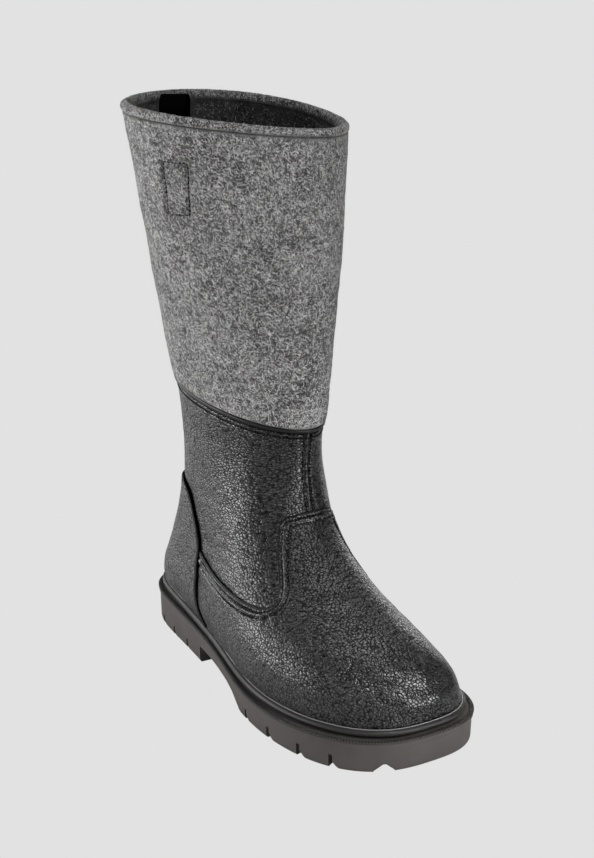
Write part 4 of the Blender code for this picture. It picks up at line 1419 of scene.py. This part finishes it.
LIGHTS = [
    # name, place, target, size, power in watts, spread of the light in degrees
    ("tent_back_left", (-0.92, -0.72, 0.30), (0.07, 0.0, 0.12), (1.3, 1.1), 13.6, 180.0),
    ("tent_back_right", (-0.45, 1.00, 0.30), (0.10, 0.0, 0.12), (0.45, 0.7), 2.5, 180.0),
    ("tent_top", (-0.10, 0.10, 1.30), (0.07, 0.0, 0.12), (1.0, 0.9), 7.0, 180.0),
    ("key_left", (-0.40, -1.25, 0.25), (0.08, 0.0, 0.10), (0.95, 0.6), 7.5, 180.0),
    ("toe_light", (1.28, 0.46, 0.36), (0.24, 0.0, 0.05), (0.75, 0.75), 7.0, 180.0),
    ("toe_high", (0.555, 0.06, 0.50), (0.22, 0.0, 0.07), (0.22, 0.17), 0.090, 30.0),
    ("toe_low", (0.56, 0.18, 0.036), (0.24, 0.0, 0.06), (0.40, 0.07), 0.065, 40.0),
    ("front_fill", (1.05, -0.95, 0.60), (0.07, 0.0, 0.15), (1.0, 1.2), 3.3, 180.0),
]
# Brightness of the backdrop to the camera, and of the world as a light
BACKDROP = 0.760
WORLD_LIGHT = 0.025
FLOOR_TONE = 0.70
FLOOR_RADIUS = 3000.0
FLOOR_HEIGHT = -0.2
FLOOR_SIDES = 64


def area_light(name, place, target, size, power, beam):
    """A soft rectangular light turned to a target, its light kept within the beam's angle in degrees."""
    lamp = bpy.data.lights.new(name, "AREA")
    lamp.shape = "RECTANGLE"
    lamp.size, lamp.size_y = size
    lamp.energy = power
    lamp.spread = math.radians(beam)
    thing = bpy.data.objects.new(name, lamp)
    bpy.context.scene.collection.objects.link(thing)
    thing.location = place
    thing.rotation_mode = "QUATERNION"
    thing.rotation_quaternion = (Vector(target) - Vector(place)).to_track_quat("-Z", "Y")
    thing.visible_camera = False


def camera_sees(tree, seen, otherwise, output):
    """Shows one shader to the camera and another to all other rays."""
    path = node(tree, "ShaderNodeLightPath").outputs["Is Camera Ray"]
    mixed = node(tree, "ShaderNodeMixShader", {0: path, 1: otherwise.outputs[0], 2: seen.outputs[0]})
    node(tree, output, {"Surface": mixed.outputs[0]})


def make_stage():
    """Floor that only throws light back, and a plain pale backdrop."""
    turns = 2.0 * np.pi * np.arange(FLOOR_SIDES) / FLOOR_SIDES
    flat = np.full(FLOOR_SIDES, FLOOR_HEIGHT)
    verts = np.stack([FLOOR_RADIUS * np.cos(turns), FLOOR_RADIUS * np.sin(turns), flat], axis=1)
    floor = mesh_object("floor", verts, [tuple(range(FLOOR_SIDES))], False)
    material = bpy.data.materials.new("floor")
    material.use_nodes = True
    tree = material.node_tree
    tree.nodes.clear()
    matt = node(tree, "ShaderNodeBsdfDiffuse", {"Color": grey(FLOOR_TONE)})
    clear = node(tree, "ShaderNodeBsdfTransparent")
    camera_sees(tree, clear, matt, "ShaderNodeOutputMaterial")
    floor.data.materials.append(material)
    world = bpy.data.worlds.new("studio")
    bpy.context.scene.world = world
    world.use_nodes = True
    tree = world.node_tree
    tree.nodes.clear()
    backdrop = node(tree, "ShaderNodeBackground", {"Color": grey(1.0), "Strength": BACKDROP})
    light = node(tree, "ShaderNodeBackground", {"Color": grey(1.0), "Strength": WORLD_LIGHT})
    camera_sees(tree, backdrop, light, "ShaderNodeOutputWorld")


CAMERA_TURN = 59.68
CAMERA_RISE = 14.95
CAMERA_REACH = 0.83086
CAMERA_TARGET = (0.07106, 0.03328, 0.15897)
FOCAL_PIXELS = 1199.43
IMAGE_HEIGHT = 858.0
SENSOR = 36.0


def make_camera():
    """Camera at the photograph's angle."""
    turn = math.radians(CAMERA_TURN)
    rise = math.radians(CAMERA_RISE)
    back = Vector((math.sin(turn) * math.cos(rise), -math.cos(turn) * math.cos(rise), math.sin(rise)))
    lens = bpy.data.cameras.new("camera")
    lens.sensor_fit = "AUTO"
    lens.sensor_width = SENSOR
    lens.lens = SENSOR * FOCAL_PIXELS / IMAGE_HEIGHT
    lens.clip_start = 0.01
    lens.clip_end = 50.0
    camera = bpy.data.objects.new("camera", lens)
    bpy.context.scene.collection.objects.link(camera)
    camera.location = Vector(CAMERA_TARGET) + back * CAMERA_REACH
    camera.rotation_mode = "QUATERNION"
    camera.rotation_quaternion = (-back).to_track_quat("-Z", "Y")
    bpy.context.scene.camera = camera


make_stage()
make_camera()
for light in LIGHTS:
    area_light(*light)
scene = bpy.context.scene
scene.view_settings.view_transform = "Standard"
scene.view_settings.look = "None"
